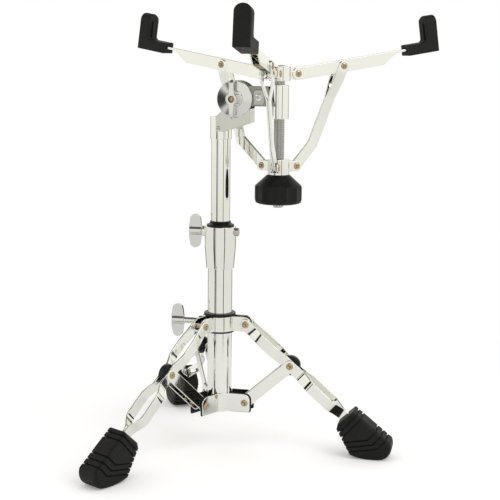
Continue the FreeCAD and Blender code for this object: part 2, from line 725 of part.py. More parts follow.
SLEEVE = f"({POST} + sleeve_wall)"
SLEEVE_LOW = "(post_top + sleeve_cap_thickness - sleeve_length)"
TILTER_RIVET = "(tilter_plate_low + tilter_rivet_rise)"
PLATE_INNER = f"({SLEEVE} + running_fit)"
PLATE_OUTER = f"({PLATE_INNER} + tilter_plate_thickness)"
BRACKET_OUTER = f"({PLATE_INNER} - air_gap)"


def beside(side, distance):
    """Place to one side of the plane that the tilter swings in."""
    return Placement(Vector(0, side * value(distance), 0), Rotation())


def make_tilter_base():
    """Cap sleeve on the post, and the channel bracket riveted to it that carries the tilter bolt."""
    cap = cut(cylinder(SLEEVE, "sleeve_length", z=SLEEVE_LOW),
              cylinder(POST, f"post_top - {SLEEVE_LOW} + cut_overrun", z=f"{SLEEVE_LOW} - cut_overrun"),
              way("tilter_rivet_radius + running_fit", SLEEVE, z=TILTER_RIVET))
    keep(cap, "tilter_sleeve")
    centre = {"x": "tilter_offset", "z": "tilter_height"}
    sheets = []
    for side in SIDES.values():
        start = PLATE_INNER if side > 0 else f"-{PLATE_OUTER}"
        flank = plate("XZ_Plane", [
            ("-tilter_plate_back", "tilter_plate_low"), ("tilter_plate_foot", "tilter_plate_low"),
            ("tilter_plate_reach", "tilter_plate_corner"), ("tilter_plate_reach", "tilter_web_top"),
            ("tilter_offset", "tilter_height"), ("-tilter_plate_back", "post_top + sleeve_cap_thickness"),
        ], "tilter_plate_thickness")
        flank.Placement = beside(side, f"({PLATE_INNER} + {PLATE_OUTER}) / 2")
        disc = cylinder("tilter_disc_radius", "tilter_plate_thickness", y=start, turn=ALONG_Y, **centre)
        sheets += [flank, disc]
    web = box("tilter_plate_thickness", f"2 * {PLATE_OUTER}", "tilter_web_top - tilter_plate_corner",
              x="tilter_plate_reach - tilter_plate_thickness", y=f"-{PLATE_OUTER}", z="tilter_plate_corner")
    front = f"({PLATE_OUTER} + tilter_disc_thickness)"
    back = f"({PLATE_OUTER} + tilter_nut_thickness)"

    def bolt_way():
        """Hole for the tilter bolt through all that it passes."""
        return way("tilter_bolt_radius + running_fit", f"{front} + {back}", **centre)

    rivet_way = way("tilter_rivet_radius + running_fit", PLATE_OUTER, z=TILTER_RIVET)
    keep(cut(fuse(*sheets, web), bolt_way(), rivet_way), "tilter_lower_bracket")
    dish = cone("tilter_dish_radius", "tilter_disc_radius", "tilter_disc_thickness", y=f"-{front}",
                turn=ALONG_Y, **centre)
    keep(cut(dish, bolt_way()), "tilter_disc")
    nut = DOC.addObject("Part::Prism", "Hexagon")
    nut.Polygon = 6
    bind(nut, Circumradius="tilter_nut_radius", Height="tilter_nut_thickness")
    locate(nut, y=PLATE_OUTER, turn=ALONG_Y, **centre)
    keep(cut(nut, bolt_way()), "tilter_nut")
    pin = rivet(PLATE_OUTER, "tilter_rivet_radius", "tilter_rivet_head_radius", "tilter_rivet_head_height")
    keep(pin, "tilter_tube_rivet", at_height(TILTER_RIVET))
    wing = ("tilter_wing_length", "tilter_wing_height", "tilter_wing_thickness",
            "tilter_wing_hub_radius")
    place = Placement(Vector(value("tilter_offset"), 0, value("tilter_height")), Rotation(Z_AXIS, 90))
    wing_screw("tilter_wing_bolt", "tilter_bolt_radius", back, f"{front} + side_gap", wing, place)


def make_tilter_head():
    """Upper bracket between the lower bracket's plates, the sleeve that holds the rod, and the rod."""
    low = "(tilter_height + bracket_rise - bracket_height / 2)"
    top = f"({low} + bracket_height)"
    end = "(basket_offset - rod_sleeve_radius - running_fit)"
    inner = f"({BRACKET_OUTER} - tilter_plate_thickness)"
    centre = {"x": "tilter_offset", "z": "tilter_height"}
    screw = {"x": "bracket_screw_offset", "z": "tilter_height + bracket_screw_rise"}
    walls = []
    for side in SIDES.values():
        start = inner if side > 0 else f"-{BRACKET_OUTER}"
        flank = plate("XZ_Plane", [
            ("tilter_offset", low), ("bracket_reach", low), ("bracket_reach - bracket_slant", top),
            ("tilter_offset", top),
        ], "tilter_plate_thickness")
        flank.Placement = beside(side, f"({inner} + {BRACKET_OUTER}) / 2")
        eye = cylinder("tilter_inner_radius", "tilter_plate_thickness", y=start, turn=ALONG_Y, **centre)
        walls += [flank, eye]
    web = box("tilter_plate_thickness", f"2 * {inner}", "bracket_height",
              x=f"{end} - tilter_plate_thickness", y=f"-{inner}", z=low)
    ways = [way("tilter_bolt_radius + running_fit", BRACKET_OUTER, **centre),
            way("bracket_screw_radius + running_fit", BRACKET_OUTER, **screw)]
    keep(cut(fuse(*walls, web), *ways), "tilter_upper_bracket")
    bar = across("bracket_screw_radius", BRACKET_OUTER, **screw)
    head = cone("bracket_screw_radius", "bracket_screw_head_radius", "bracket_screw_head_height",
                y=f"-{BRACKET_OUTER} - bracket_screw_head_height", turn=ALONG_Y, **screw)
    keep(fuse(bar, head), "tilter_bracket_screw")
    hole = cylinder("rod_radius + running_fit", "rod_sleeve_top - rod_sleeve_low + 2 * cut_overrun",
                    x="basket_offset", z="rod_sleeve_low - cut_overrun")
    sleeve = cylinder("rod_sleeve_radius", "rod_sleeve_top - rod_sleeve_low", x="basket_offset",
                      z="rod_sleeve_low")
    keep(cut(sleeve, hole), "rod_sleeve")
    top = "(upper_pivot_height + basket_hub_height / 2 + rod_end)"
    keep(cylinder("rod_radius", f"{top} - rod_low", x="basket_offset", z="rod_low"), "basket_rod")


def basket_frame(bearing, radius=0, height=0, rise=0):
    """Frame on the rod's axis whose X runs out along an arm's bearing."""
    rod_axis = Placement(Vector(value("basket_offset"), 0, 0), Rotation())
    return rod_axis * along(bearing, radius, height, -rise)


def basket_rivet(half_grip):
    """One of the basket's rivets, which are all alike but for their grip."""
    return rivet(half_grip, "basket_rivet_radius", "basket_rivet_head_radius", "basket_rivet_head_height")


def basket_rivets(half_grip):
    """A rivet across each arm's bearing at the basket's pivot radius."""
    pins = []
    for bearing in ARM_BEARINGS:
        pin = basket_rivet(half_grip)
        pin.Placement = along(bearing, value("basket_pivot_radius"), 0)
        pins.append(pin)
    return group(pins)


def lug(start, width):
    """Flat lug from the rod's axis to a round nose at the basket's pivot radius."""
    return fuse(box("basket_pivot_radius", width, "2 * hub_lug_radius", y=start, z="-hub_lug_radius"),
                cylinder("hub_lug_radius", width, x="basket_pivot_radius", y=start, turn=ALONG_Y))


def make_basket_hubs():
    """Upper hub fast on the rod with single lugs, and lower hub that slides on it with pairs of ears."""
    ear_outer = "(basket_ear_half_gap + basket_ear_thickness)"
    for label, height, skirt, starts, width, grip in (
            ("upper", "upper_pivot_height", "0", ("-hub_lug_half_width",), "2 * hub_lug_half_width",
             "arm_half_width"),
            ("lower", "lower_pivot_height", "lower_hub_skirt", ("basket_ear_half_gap", f"-{ear_outer}"),
             "basket_ear_thickness", ear_outer)):
        low = f"-basket_hub_height / 2 - {skirt}"
        solid = [cylinder("basket_hub_radius", f"basket_hub_height + {skirt}", z=low)]
        ways = [cylinder("rod_radius + running_fit", f"basket_hub_height + {skirt} + 2 * cut_overrun",
                         z=f"{low} - cut_overrun")]
        for bearing in ARM_BEARINGS:
            solid += [turned(lug(start, width), bearing) for start in starts]
            hole = way("basket_rivet_radius + running_fit", grip, x="basket_pivot_radius")
            ways.append(turned(hole, bearing))
        place = basket_frame(0, 0, value(height))
        keep(cut(fuse(*solid), *ways), f"basket_{label}_hub", place)
        keep(basket_rivets(grip), f"basket_{label}_rivets", place)


def make_knob():
    """Faceted knob that turns on the rod under the lower hub."""
    top = "(lower_pivot_height - basket_hub_height / 2 - lower_hub_skirt - air_gap)"
    low = f"({top} - knob_height)"
    bore = "(rod_radius + running_fit)"
    body = turning([
        (bore, low), ("knob_radius - knob_chamfer", low), ("knob_radius", f"{low} + knob_chamfer"),
        ("knob_radius", f"{top} - knob_cone_height"), ("knob_neck_radius", top), (bore, top),
    ])
    facets = DOC.addObject("Part::Prism", "Facets")
    facets.Polygon = round(KNOB_FLATS)
    bind(facets, Height="knob_height",
         Circumradius=f"(knob_radius - knob_flat_depth) / cos({180 / KNOB_FLATS})")
    keep(common(body, locate(facets, z=low)), "basket_knob", basket_frame(0))


def arm():
    """Channel arm, open below, whose web runs on as a flat blade into its rubber tip."""
    half, web = "arm_height / 2", "(arm_height / 2 - arm_blade_thickness)"
    side = plate("XZ_Plane", [("0", f"-{half}"), ("arm_wall_end", f"-{half}"), ("arm_taper_end", web),
                              ("arm_length", web), ("arm_length", half), ("0", half)], "2 * arm_half_width")
    nose = across(half, "arm_half_width")
    inner = "(arm_half_width - arm_wall)"
    corner = {"x": f"-{half} - cut_overrun", "y": f"-{inner}", "z": f"-{half} - cut_overrun"}
    hollow = box(f"arm_taper_end + {half} + cut_overrun", f"2 * {inner}",
                 "arm_height - arm_wall + cut_overrun", **corner)
    mouth = box(f"arm_mouth + {half} + cut_overrun", f"2 * {inner}", "arm_height + 2 * cut_overrun", **corner)
    ways = [way("basket_rivet_radius + running_fit", "arm_half_width", x=x) for x in ("0", "strut_place")]
    return cut(fuse(side, nose), hollow, mouth, *ways)


TIP_START = "(arm_length - tip_grip)"
TIP_REACH = "(arm_length + tip_overhang)"


def tip():
    """L-shaped rubber tip with a sleeve for the arm's blade and a rib that faces the drum."""
    low = "(arm_height / 2 - tip_drop)"
    step, spring = f"({low} + tip_sleeve_height)", f"({low} + tip_height)"
    face = f"({TIP_REACH} - tip_upright)"
    body = plate("XZ_Plane", [
        (TIP_START, low), (TIP_REACH, low), (TIP_REACH, spring, "tip_crown_radius"), (face, spring),
        (face, step), (TIP_START, step),
    ], "tip_width")
    rib = box("tip_rib_height + tip_upright / 2", "tip_rib_width", "tip_height - tip_sleeve_height",
              x=f"{face} - tip_rib_height", y="-tip_rib_width / 2", z=step)
    socket = box("tip_grip + side_gap + cut_overrun", "2 * (arm_half_width + side_gap)",
                 "arm_blade_thickness + 2 * side_gap", x=f"{TIP_START} - cut_overrun",
                 y="-(arm_half_width + side_gap)", z="arm_height / 2 - arm_blade_thickness - side_gap")
    return cut(fuse(body, rib), socket)


STRUT_TOP = "(upper_pivot_height + strut_place * sin(arm_rise))"
STRUT_OUT = "(basket_pivot_radius + strut_place * cos(arm_rise))"
STRUT_OUTER = "(arm_half_width + side_gap + strut_thickness)"
# The second strut passes the tilter, so it bends further out
STRUT_BENDS = [(f"{name}_bend_radius", f"{name}_bend_height") for name in ("strut", "left_strut", "strut")]


def strut_strip(side, bend):
    """Bent strip of a strut in the basket's frame: beside the arm above, against its twin below."""
    knots = [(STRUT_OUT, STRUT_TOP), bend, ("basket_pivot_radius", "lower_pivot_height")]
    solid = [across("strut_width / 2", STRUT_OUTER, x, z) for x, z in knots]
    for (x, z), (next_x, next_z) in zip(knots, knots[1:]):
        run, fall = value(f"{next_x} - {x}"), value(f"{z} - {next_z}")
        flat = box(f"sqrt(({next_x} - {x})^2 + ({next_z} - {z})^2)", f"2 * {STRUT_OUTER}", "strut_width",
                   y=f"-{STRUT_OUTER}", z="-strut_width / 2")
        leaf = group([flat])
        slope = Rotation(Y_AXIS, math.degrees(math.atan2(fall, run)))
        leaf.Placement = Placement(Vector(value(x), 0, value(z)), slope)
        solid.append(leaf)
    beside, closed = "(arm_half_width + side_gap)", "strut_half_slit"
    levels = [(f"{STRUT_TOP} + strut_width", beside), (f"{STRUT_TOP} - strut_fork_drop", beside),
              (f"{STRUT_TOP} - strut_join_drop", closed), ("lower_pivot_height - strut_width", closed)]
    inner = [(f"{side} * {gap}", z) for z, gap in levels]
    outer = [(f"{side} * ({gap} + strut_thickness)", z) for z, gap in reversed(levels)]
    band = plate("YZ_Plane", inner + outer, "4 * strut_place")
    strip = common(fuse(*solid), band)
    return cut(strip, way("basket_rivet_radius + running_fit", STRUT_OUTER, *knots[0]),
               way("basket_rivet_radius + basket_open_clearance", STRUT_OUTER, *knots[-1]))


def make_arms():
    """Three arms with their rubber tips, and the struts that carry them from the lower hub."""
    for number, (bearing, bend) in enumerate(zip(ARM_BEARINGS, STRUT_BENDS), start=1):
        place = basket_frame(bearing, value("basket_pivot_radius"), value("upper_pivot_height"),
                             value("arm_rise"))
        keep(arm(), f"arm_{number}", place)
        keep(tip(), f"arm_{number}_tip", place)
        pivot = Placement(Vector(value("strut_place"), 0, 0), Rotation())
        keep(basket_rivet(f"({STRUT_OUTER} + side_gap)"), f"arm_{number}_rivet", place * pivot)
        strips = [strut_strip(side, bend) for side in SIDES.values()]
        keep(group(strips), f"strut_{number}", basket_frame(bearing))


def export():
    """Check every object and write each sub-part to its own file."""
    DOC.recompute()
    failed = [item.Name for item in DOC.Objects if {"Invalid", "Error"} & set(item.State)]
    if failed:
        raise RuntimeError(f"objects that failed: {failed}")
    os.makedirs("parts", exist_ok=True)
    for item in PARTS:
        shape = item.Shape
        if shape.isNull() or not shape.isValid() or not shape.Solids:
            raise RuntimeError(f"{item.Label} has no valid solid")
    for item in PARTS:
        item.Shape.exportStep(f"parts/{item.Label}.step")
        print(item.Label, len(item.Shape.Solids), round(item.Shape.Volume, 1))


tube("base_tube", TUBE, "base_tube_low", "base_tube_top")
make_lower_hub()
make_leg_collar()
make_legs()
make_height_clamp()
make_wing_screws()
make_post()
make_tilter_base()
make_tilter_head()
make_basket_hubs()
make_knob()
make_arms()
export()
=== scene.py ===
"""Looks of a snare drum stand: tripod, height post, tilter and three-arm basket."""
import json
import logging
from contextlib import contextmanager
from dataclasses import dataclass
from enum import Enum
from math import atan2, cos, hypot, pi, radians, sin, sqrt, tau
from typing import Callable, Iterator, Sequence

import bmesh
import bpy
from bpy.types import Material, Node, NodeSocket, NodeTree, Object
from mathutils import Matrix, Vector


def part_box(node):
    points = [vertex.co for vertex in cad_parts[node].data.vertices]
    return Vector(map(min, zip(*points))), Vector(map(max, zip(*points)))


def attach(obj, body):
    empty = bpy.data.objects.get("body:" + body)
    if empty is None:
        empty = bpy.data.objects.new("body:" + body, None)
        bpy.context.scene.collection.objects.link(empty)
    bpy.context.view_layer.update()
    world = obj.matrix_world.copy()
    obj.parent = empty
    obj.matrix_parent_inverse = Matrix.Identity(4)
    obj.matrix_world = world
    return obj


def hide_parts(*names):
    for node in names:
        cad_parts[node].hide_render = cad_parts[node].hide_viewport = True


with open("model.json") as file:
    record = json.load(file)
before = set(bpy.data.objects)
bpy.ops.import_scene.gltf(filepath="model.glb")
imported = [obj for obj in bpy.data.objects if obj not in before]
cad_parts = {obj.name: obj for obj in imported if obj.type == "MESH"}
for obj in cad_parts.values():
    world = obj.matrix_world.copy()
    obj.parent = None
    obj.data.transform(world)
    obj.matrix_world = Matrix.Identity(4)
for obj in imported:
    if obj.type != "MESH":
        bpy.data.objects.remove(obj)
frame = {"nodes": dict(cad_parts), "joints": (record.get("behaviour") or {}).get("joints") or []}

LOG = logging.getLogger("snare_stand")
MM = 0.001
FINE, MEDIUM = 96, 40
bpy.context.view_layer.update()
JOINTS = {joint["name"]: joint for joint in frame["joints"]}
Point = tuple[float, float]
Triple = tuple[float, float, float]
Edge = bmesh.types.BMEdge


# Node groups that several finishes share

def socket(tree: NodeTree, name: str, kind: str, side: str, start: float | None = None) -> None:
    """Adds one socket to a node group.

    Args:
        tree: the group.
        name: the socket's name.
        kind: "Float" or "Vector".
        side: "INPUT" or "OUTPUT".
        start: the default of a number.
    """
    made = tree.interface.new_socket(name=name, in_out=side, socket_type=f"NodeSocket{kind}")
    if start is not None:
        made.default_value = start


class Graph:
    """A small helper that adds and links shader nodes in one tree."""

    def __init__(self, tree: NodeTree) -> None:
        """Keeps the tree that the nodes go into."""
        self.tree = tree

    def add(self, kind: str, *values: object, **settings: object) -> Node:
        """Adds a node and wires its first inputs.

        Args:
            kind: the node type without its ShaderNode prefix.
            values: sockets or plain values for the inputs, in their order.
            settings: properties of the node.

        Returns:
            The new node.
        """
        node = self.tree.nodes.new(kind if kind.startswith("NodeGroup") else f"ShaderNode{kind}")
        for name, value in settings.items():
            setattr(node, name, value)
        for slot, value in zip(node.inputs, values):
            self.wire(value, slot)
        return node

    def wire(self, source: object, target: NodeSocket) -> None:
        """Links an output, or sets a plain value, on an input socket."""
        if isinstance(source, NodeSocket):
            self.tree.links.new(source, target)
        else:
            target.default_value = source

    def feed(self, node: Node, **values: object) -> Node:
        """Wires a node's inputs by their names and returns the node."""
        for name, value in values.items():
            self.wire(value, node.inputs[name])
        return node

    def sum(self, how: str, *values: object) -> NodeSocket:
        """Adds a Math node and returns its result."""
        return self.add("Math", *values, operation=how).outputs[0]

    def span(self, value: object, low: float, high: float, start: float = 0.0,
             end: float = 1.0) -> NodeSocket:
        """Adds a smooth Map Range node from low..high to start..end and returns its result."""
        node = self.add("MapRange", value, low, high, start, end, interpolation_type="SMOOTHSTEP")
        return node.outputs[0]

    def noise(self, vector: object, scale: object, detail: float = 4.0,
              roughness: float = 0.55) -> NodeSocket:
        """Adds a Noise Texture and returns its factor."""
        node = self.add("TexNoise")
        self.feed(node, Vector=vector, Scale=scale, Detail=detail, Roughness=roughness)
        return node.outputs[0]

    def mix(self, factor: object, first: object, second: object) -> NodeSocket:
        """Mixes two colours and returns the result."""
        node = self.add("Mix", factor, data_type="RGBA")
        self.wire(first, node.inputs[6])
        self.wire(second, node.inputs[7])
        return node.outputs[2]


class Effect(Enum):
    """The shared node groups."""

    POLISH_MARKS = "polish_marks"
    HANDLING = "handling"
    MOULDED_GRAIN = "moulded_grain"
    SETTLED_DUST = "settled_dust"
    EDGE_WEAR = "edge_wear"

    def tree(self) -> NodeTree:
        """Returns the group, building it the first time."""
        return bpy.data.node_groups.get(self.value) or getattr(self, f"_{self.value}")()

    def _new(self, *outputs: str, **numbers: float) -> tuple:
        """Starts a group that reads coordinates.

        Args:
            outputs: the names of the outputs, all numbers.
            numbers: name and default of each further input.

        Returns:
            The graph, the group's inputs, its outputs and the group.
        """
        tree = bpy.data.node_groups.new(self.value, "ShaderNodeTree")
        socket(tree, "Vector", "Vector", "INPUT")
        for name, start in numbers.items():
            socket(tree, name, "Float", "INPUT", start)
        for name in outputs:
            socket(tree, name, "Float", "OUTPUT")
        graph = Graph(tree)
        return graph, graph.add("NodeGroupInput").outputs, graph.add("NodeGroupOutput").inputs, tree

    def _polish_marks(self) -> NodeTree:
        """Long faint buffing marks."""
        graph, given, put, tree = self._new("Marks", "Haze", Scale=900.0, Stretch=0.06)
        stretch = graph.add("CombineXYZ", 1.0, 1.0, given["Stretch"]).outputs[0]
        scaled = graph.add("VectorMath", given["Vector"], stretch, operation="MULTIPLY").outputs[0]
        fine = graph.noise(scaled, given["Scale"], 3.0)
        graph.wire(graph.span(fine, 0.42, 0.72), put["Marks"])
        wide = graph.noise(given["Vector"], graph.sum("MULTIPLY", given["Scale"], 0.04), 3.0)
        graph.wire(graph.span(wide, 0.35, 0.75), put["Haze"])
        return tree

    def _handling(self) -> NodeTree:
        """Smudges where hands and bags touch."""
        graph, given, put, tree = self._new("Smudge", Scale=40.0)
        patch = graph.noise(given["Vector"], given["Scale"], 5.0, 0.6)
        speck = graph.noise(given["Vector"], graph.sum("MULTIPLY", given["Scale"], 9.0), 3.0, 0.6)
        smear = graph.sum("MULTIPLY", graph.span(patch, 0.45, 0.75), graph.span(speck, 0.25, 0.8))
        graph.wire(smear, put["Smudge"])
        return tree

    def _moulded_grain(self) -> NodeTree:
        """The fine pebble of a moulding tool."""
        graph, given, put, tree = self._new("Height", "Tone", Scale=1800.0)
        cells = graph.add("TexVoronoi", feature="SMOOTH_F1")
        graph.feed(cells, Vector=given["Vector"], Scale=given["Scale"])
        fleck = graph.noise(given["Vector"], graph.sum("MULTIPLY", given["Scale"], 0.5))
        graph.wire(graph.sum("ADD", cells.outputs["Distance"], fleck), put["Height"])
        cloud = graph.noise(given["Vector"], graph.sum("MULTIPLY", given["Scale"], 0.03), 5.0)
        graph.wire(cloud, put["Tone"])
        return tree

    def _settled_dust(self) -> NodeTree:
        """Pale dust on faces that look up."""
        graph, given, put, tree = self._new("Mask", Amount=0.3)
        normal = graph.add("SeparateXYZ", graph.add("NewGeometry").outputs["Normal"])
        up = graph.span(normal.outputs[2], 0.25, 1.0)
        speck = graph.span(graph.noise(given["Vector"], 420.0, 6.0, 0.7), 0.42, 0.72)
        dust = graph.sum("MULTIPLY", up, speck)
        graph.wire(graph.sum("MULTIPLY", dust, given["Amount"]), put["Mask"])
        return tree

    def _edge_wear(self) -> NodeTree:
        """Rubbed outer edges."""
        graph, given, put, tree = self._new("Mask", Amount=0.5)
        sharp = graph.span(graph.add("NewGeometry").outputs["Pointiness"], 0.515, 0.6)
        broken = graph.span(graph.noise(given["Vector"], 260.0, 5.0), 0.3, 0.65)
        worn = graph.sum("MULTIPLY", sharp, broken)
        graph.wire(graph.sum("MULTIPLY", worn, given["Amount"]), put["Mask"])
        return tree


# Finishes

@dataclass(frozen=True)
class Finish:
    """What every finish has."""

    slot: str
    colour: Triple
    roughness: float
    label: str = ""

    @property
    def title(self) -> str:
        """Name of the material."""
        return f"{self.label or self.slot}_finish"

    def begin(self) -> tuple[Graph, Node, NodeSocket, Material]:
        """Starts the material.

        Returns:
            The graph, the shader, the object coordinates and the material.
        """
        material = bpy.data.materials.new(self.title)
        material.use_nodes = True
        graph = Graph(material.node_tree)
        shader = material.node_tree.nodes["Principled BSDF"]
        return graph, shader, graph.add("TexCoord").outputs["Object"], material

    def effect(self, graph: Graph, which: Effect, vector: NodeSocket, **values: float) -> Node:
        """Places a shared group in the material.

        Args:
            graph: the material's graph.
            which: the group.
            vector: the coordinates it reads.
            values: its own numbers.

        Returns:
            The group's node.
        """
        return graph.feed(graph.add("Group", node_tree=which.tree()), Vector=vector, **values)

    def relief(self, graph: Graph, shader: Node, height: NodeSocket, strength: float, depth: float) -> None:
        """Feeds a height through a Bump node to the shader's normal."""
        bump = graph.feed(graph.add("Bump"), Strength=strength, Distance=depth, Height=height)
        graph.wire(bump.outputs[0], shader.inputs["Normal"])

    def material(self) -> Material:
        """Returns the material, building it the first time."""
        return bpy.data.materials.get(self.title) or self.build()

    def build(self) -> Material:
        """Builds the material."""
        raise NotImplementedError


@dataclass(frozen=True)
class Plating(Finish):
    """Bright metal: chrome, cast chrome, nickel or brass."""

    tint: Triple = (0.62, 0.60, 0.56)
    smear: float = 0.05
    marks: float = 0.02
    stretch: float = 0.06
    cast: float = 0.0
    hand_scale: float = 55.0
    wear: float = 0.35
    fog: float = 0.16
    glint: float = 1.08
    haze: float = 0.5
    cast_scale: float = 240.0
    cast_depth: float = 0.0004
    mark_relief: Point = (0.03, 0.00002)

    def build(self) -> Material:
        """Builds the material."""
        graph, shader, vector, material = self.begin()
        marks = self.effect(graph, Effect.POLISH_MARKS, vector, Stretch=self.stretch).outputs
        smudge = self.effect(graph, Effect.HANDLING, vector, Scale=self.hand_scale).outputs["Smudge"]
        worn = self.effect(graph, Effect.EDGE_WEAR, vector, Amount=self.wear).outputs["Mask"]
        fog = graph.sum("MULTIPLY", smudge, self.fog)
        tone = graph.mix(fog, (*self.colour, 1.0), (*self.tint, 1.0))
        bright = tuple(min(1.0, c * self.glint) for c in self.colour)
        graph.wire(graph.mix(worn, tone, (*bright, 1.0)), shader.inputs["Base Color"])
        rough = graph.sum("MULTIPLY_ADD", smudge, self.smear, self.roughness)
        rough = graph.sum("MULTIPLY_ADD", marks["Haze"], self.smear * self.haze, rough)
        rough = graph.sum("MULTIPLY_ADD", marks["Marks"], self.marks, rough)
        graph.wire(rough, shader.inputs["Roughness"])
        shader.inputs["Metallic"].default_value = 1.0
        if self.cast:
            grain = self.effect(graph, Effect.MOULDED_GRAIN, vector, Scale=self.cast_scale)
            self.relief(graph, shader, grain.outputs["Tone"], self.cast, self.cast_depth)
        else:
            self.relief(graph, shader, marks["Marks"], *self.mark_relief)
        return material


@dataclass(frozen=True)
class Moulding(Finish):
    """Black nylon, plastic or rubber."""

    grain: float = 1800.0
    depth: float = 0.25
    dust: float = 0.06
    wear: float = 0.25
    rubbed: Triple = (0.045, 0.044, 0.041)
    gloss: float = 0.22
    hand_scale: float = 70.0
    paler: float = 1.5
    dust_colour: Triple = (0.19, 0.18, 0.165)
    dulled: float = 0.12
    greased: float = -0.10
    pebble: float = 0.00012

    def build(self) -> Material:
        """Builds the material."""
        graph, shader, vector, material = self.begin()
        grain = self.effect(graph, Effect.MOULDED_GRAIN, vector, Scale=self.grain).outputs
        smudge = self.effect(graph, Effect.HANDLING, vector, Scale=self.hand_scale).outputs["Smudge"]
        worn = self.effect(graph, Effect.EDGE_WEAR, vector, Amount=self.wear).outputs["Mask"]
        dust = self.effect(graph, Effect.SETTLED_DUST, vector, Amount=self.dust).outputs["Mask"]
        pale = tuple(c * self.paler for c in self.colour)
        tone = graph.mix(grain["Tone"], (*self.colour, 1.0), (*pale, 1.0))
        tone = graph.mix(worn, tone, (*self.rubbed, 1.0))
        graph.wire(graph.mix(dust, tone, (*self.dust_colour, 1.0)), shader.inputs["Base Color"])
        rough = graph.sum("MULTIPLY_ADD", grain["Tone"], self.dulled, self.roughness)
        rough = graph.sum("MULTIPLY_ADD", smudge, self.greased, rough)
        graph.wire(rough, shader.inputs["Roughness"])
        self.relief(graph, shader, grain["Height"], self.depth, self.pebble)
        shader.inputs["Specular IOR Level"].default_value = self.gloss
        return material


class Skin(Enum):
    """The stand's finishes."""

    CHROME = Plating("polished_chrome", (0.86, 0.86, 0.815), 0.03)
    CAST = Plating("cast_chrome", (0.70, 0.705, 0.685), 0.09, cast=0.10)
    SATIN = Plating("dark_chrome", (0.60, 0.60, 0.55), 0.13, "satin_chrome", marks=0.05)
    # Painted shade: this finish is polished chrome darkened to stand in for the shade and dark reflections on
    # the tilter's upper bracket and nut.
    DARK = Plating("dark_chrome", (0.27, 0.27, 0.245), 0.17, marks=0.06, stretch=1.0)
    # Painted shade: this finish is polished chrome darkened, less than the one above, for the shade on the
    # upper bracket's raised pad.
    PRESSED = Plating("dark_chrome", (0.42, 0.42, 0.385), 0.08, "pressed_shaded_chrome", marks=0.04)
    STEEL = Plating("plated_steel", (0.50, 0.495, 0.47), 0.16, marks=0.04)
    BRASS = Plating("rivet_brass", (0.47, 0.37, 0.245), 0.10, tint=(0.22, 0.14, 0.08))
    NYLON = Moulding("black_nylon", (0.006, 0.006, 0.006), 0.24, grain=2400.0, depth=0.04, dust=0.02)
    KNOB = Moulding("knob_plastic", (0.0046, 0.0047, 0.0038), 0.36, grain=2000.0, depth=0.10, gloss=0.20)
    FOOT = Moulding("foot_rubber", (0.0048, 0.0048, 0.0040), 0.44, depth=0.22, gloss=0.20)
    TIP = Moulding("tip_rubber", (0.0058, 0.0059, 0.0050), 0.48, grain=2200.0, depth=0.16)


# Hand work on meshes

@contextmanager
def editing(piece: Object, mode: str = "FACE", start: str = "SELECT") -> Iterator[bmesh.types.BMesh]:
    """Edit mode on one object.

    Args:
        piece: the object.
        mode: "VERT", "EDGE" or "FACE".
        start: "SELECT" starts with the whole mesh selected, "DESELECT" with nothing.

    Returns:
        The edit mesh.
    """
    alone(piece)
    bpy.ops.object.mode_set(mode="EDIT")
    bpy.ops.mesh.select_mode(type=mode)
    bpy.ops.mesh.select_all(action=start)
    yield bmesh.from_edit_mesh(piece.data)
    bpy.ops.object.mode_set(mode="OBJECT")


def alone(*pieces: Object) -> None:
    """Selects these objects and no others; the last is active."""
    bpy.ops.object.select_all(action="DESELECT")
    for piece in pieces:
        piece.select_set(True)
        bpy.context.view_layer.objects.active = piece


def applied(piece: Object) -> Object:
    """Applies an object's place, turn and scale to its mesh and returns it."""
    alone(piece)
    bpy.ops.object.transform_apply(location=True, rotation=True, scale=True)
    return piece


def modify(piece: Object, kind: str, **settings: object) -> None:
    """Adds a modifier and applies it.

    Args:
        piece: the object.
        kind: the modifier's type.
        settings: its properties.
    """
    alone(piece)
    modifier = piece.modifiers.new(kind.lower(), kind)
    for name, item in settings.items():
        setattr(modifier, name, item)
    bpy.ops.object.modifier_apply(modifier=modifier.name)


def soften(piece: Object, width: float, segments: int = 2, angle: float = 30.0, smooth: float = 42.0,
           unit: float = 1.0) -> None:
    """Rounds the sharp edges and sets smooth shading.

    Args:
        piece: the object.
        width: the edge's width in mm.
        segments: steps across the edge.
        angle: the least angle of an edge that is rounded, in degrees.
        smooth: the angle of edges that stay sharp in the shading, in degrees.
        unit: length of a millimetre in the mesh.
    """
    if width:
        modify(piece, "BEVEL", width=width * unit, segments=segments, limit_method="ANGLE",
               angle_limit=radians(angle), use_clamp_overlap=False, miter_outer="MITER_ARC")
    alone(piece)
    bpy.ops.object.shade_smooth_by_angle(angle=radians(smooth))
    modify(piece, "WEIGHTED_NORMAL", keep_sharp=True, weight=96)


def chain(name: str, points: Sequence[Point], closed: bool = False) -> Object:
    """Draws a line of vertices in the XZ plane by extruding one vertex.

    Args:
        name: the object's name.
        points: places across and up, in mm.
        closed: joins the last to the first.

    Returns:
        The new object.
    """
    bpy.ops.object.select_all(action="DESELECT")
    bpy.ops.mesh.primitive_plane_add(size=1.0)
    piece = bpy.context.active_object
    piece.name = name
    with editing(piece, "VERT"):
        bpy.ops.mesh.merge(type="CENTER")
        bpy.ops.mesh.select_all(action="SELECT")
        bpy.ops.transform.translate(value=(points[0][0], 0.0, points[0][1]))
        for (x0, z0), (x1, z1) in zip(points, points[1:]):
            bpy.ops.mesh.extrude_vertices_move(TRANSFORM_OT_translate={"value": (x1 - x0, 0.0, z1 - z0)})
        if closed:
            bpy.ops.mesh.select_all(action="SELECT")
            bpy.ops.mesh.edge_face_add()
    return piece


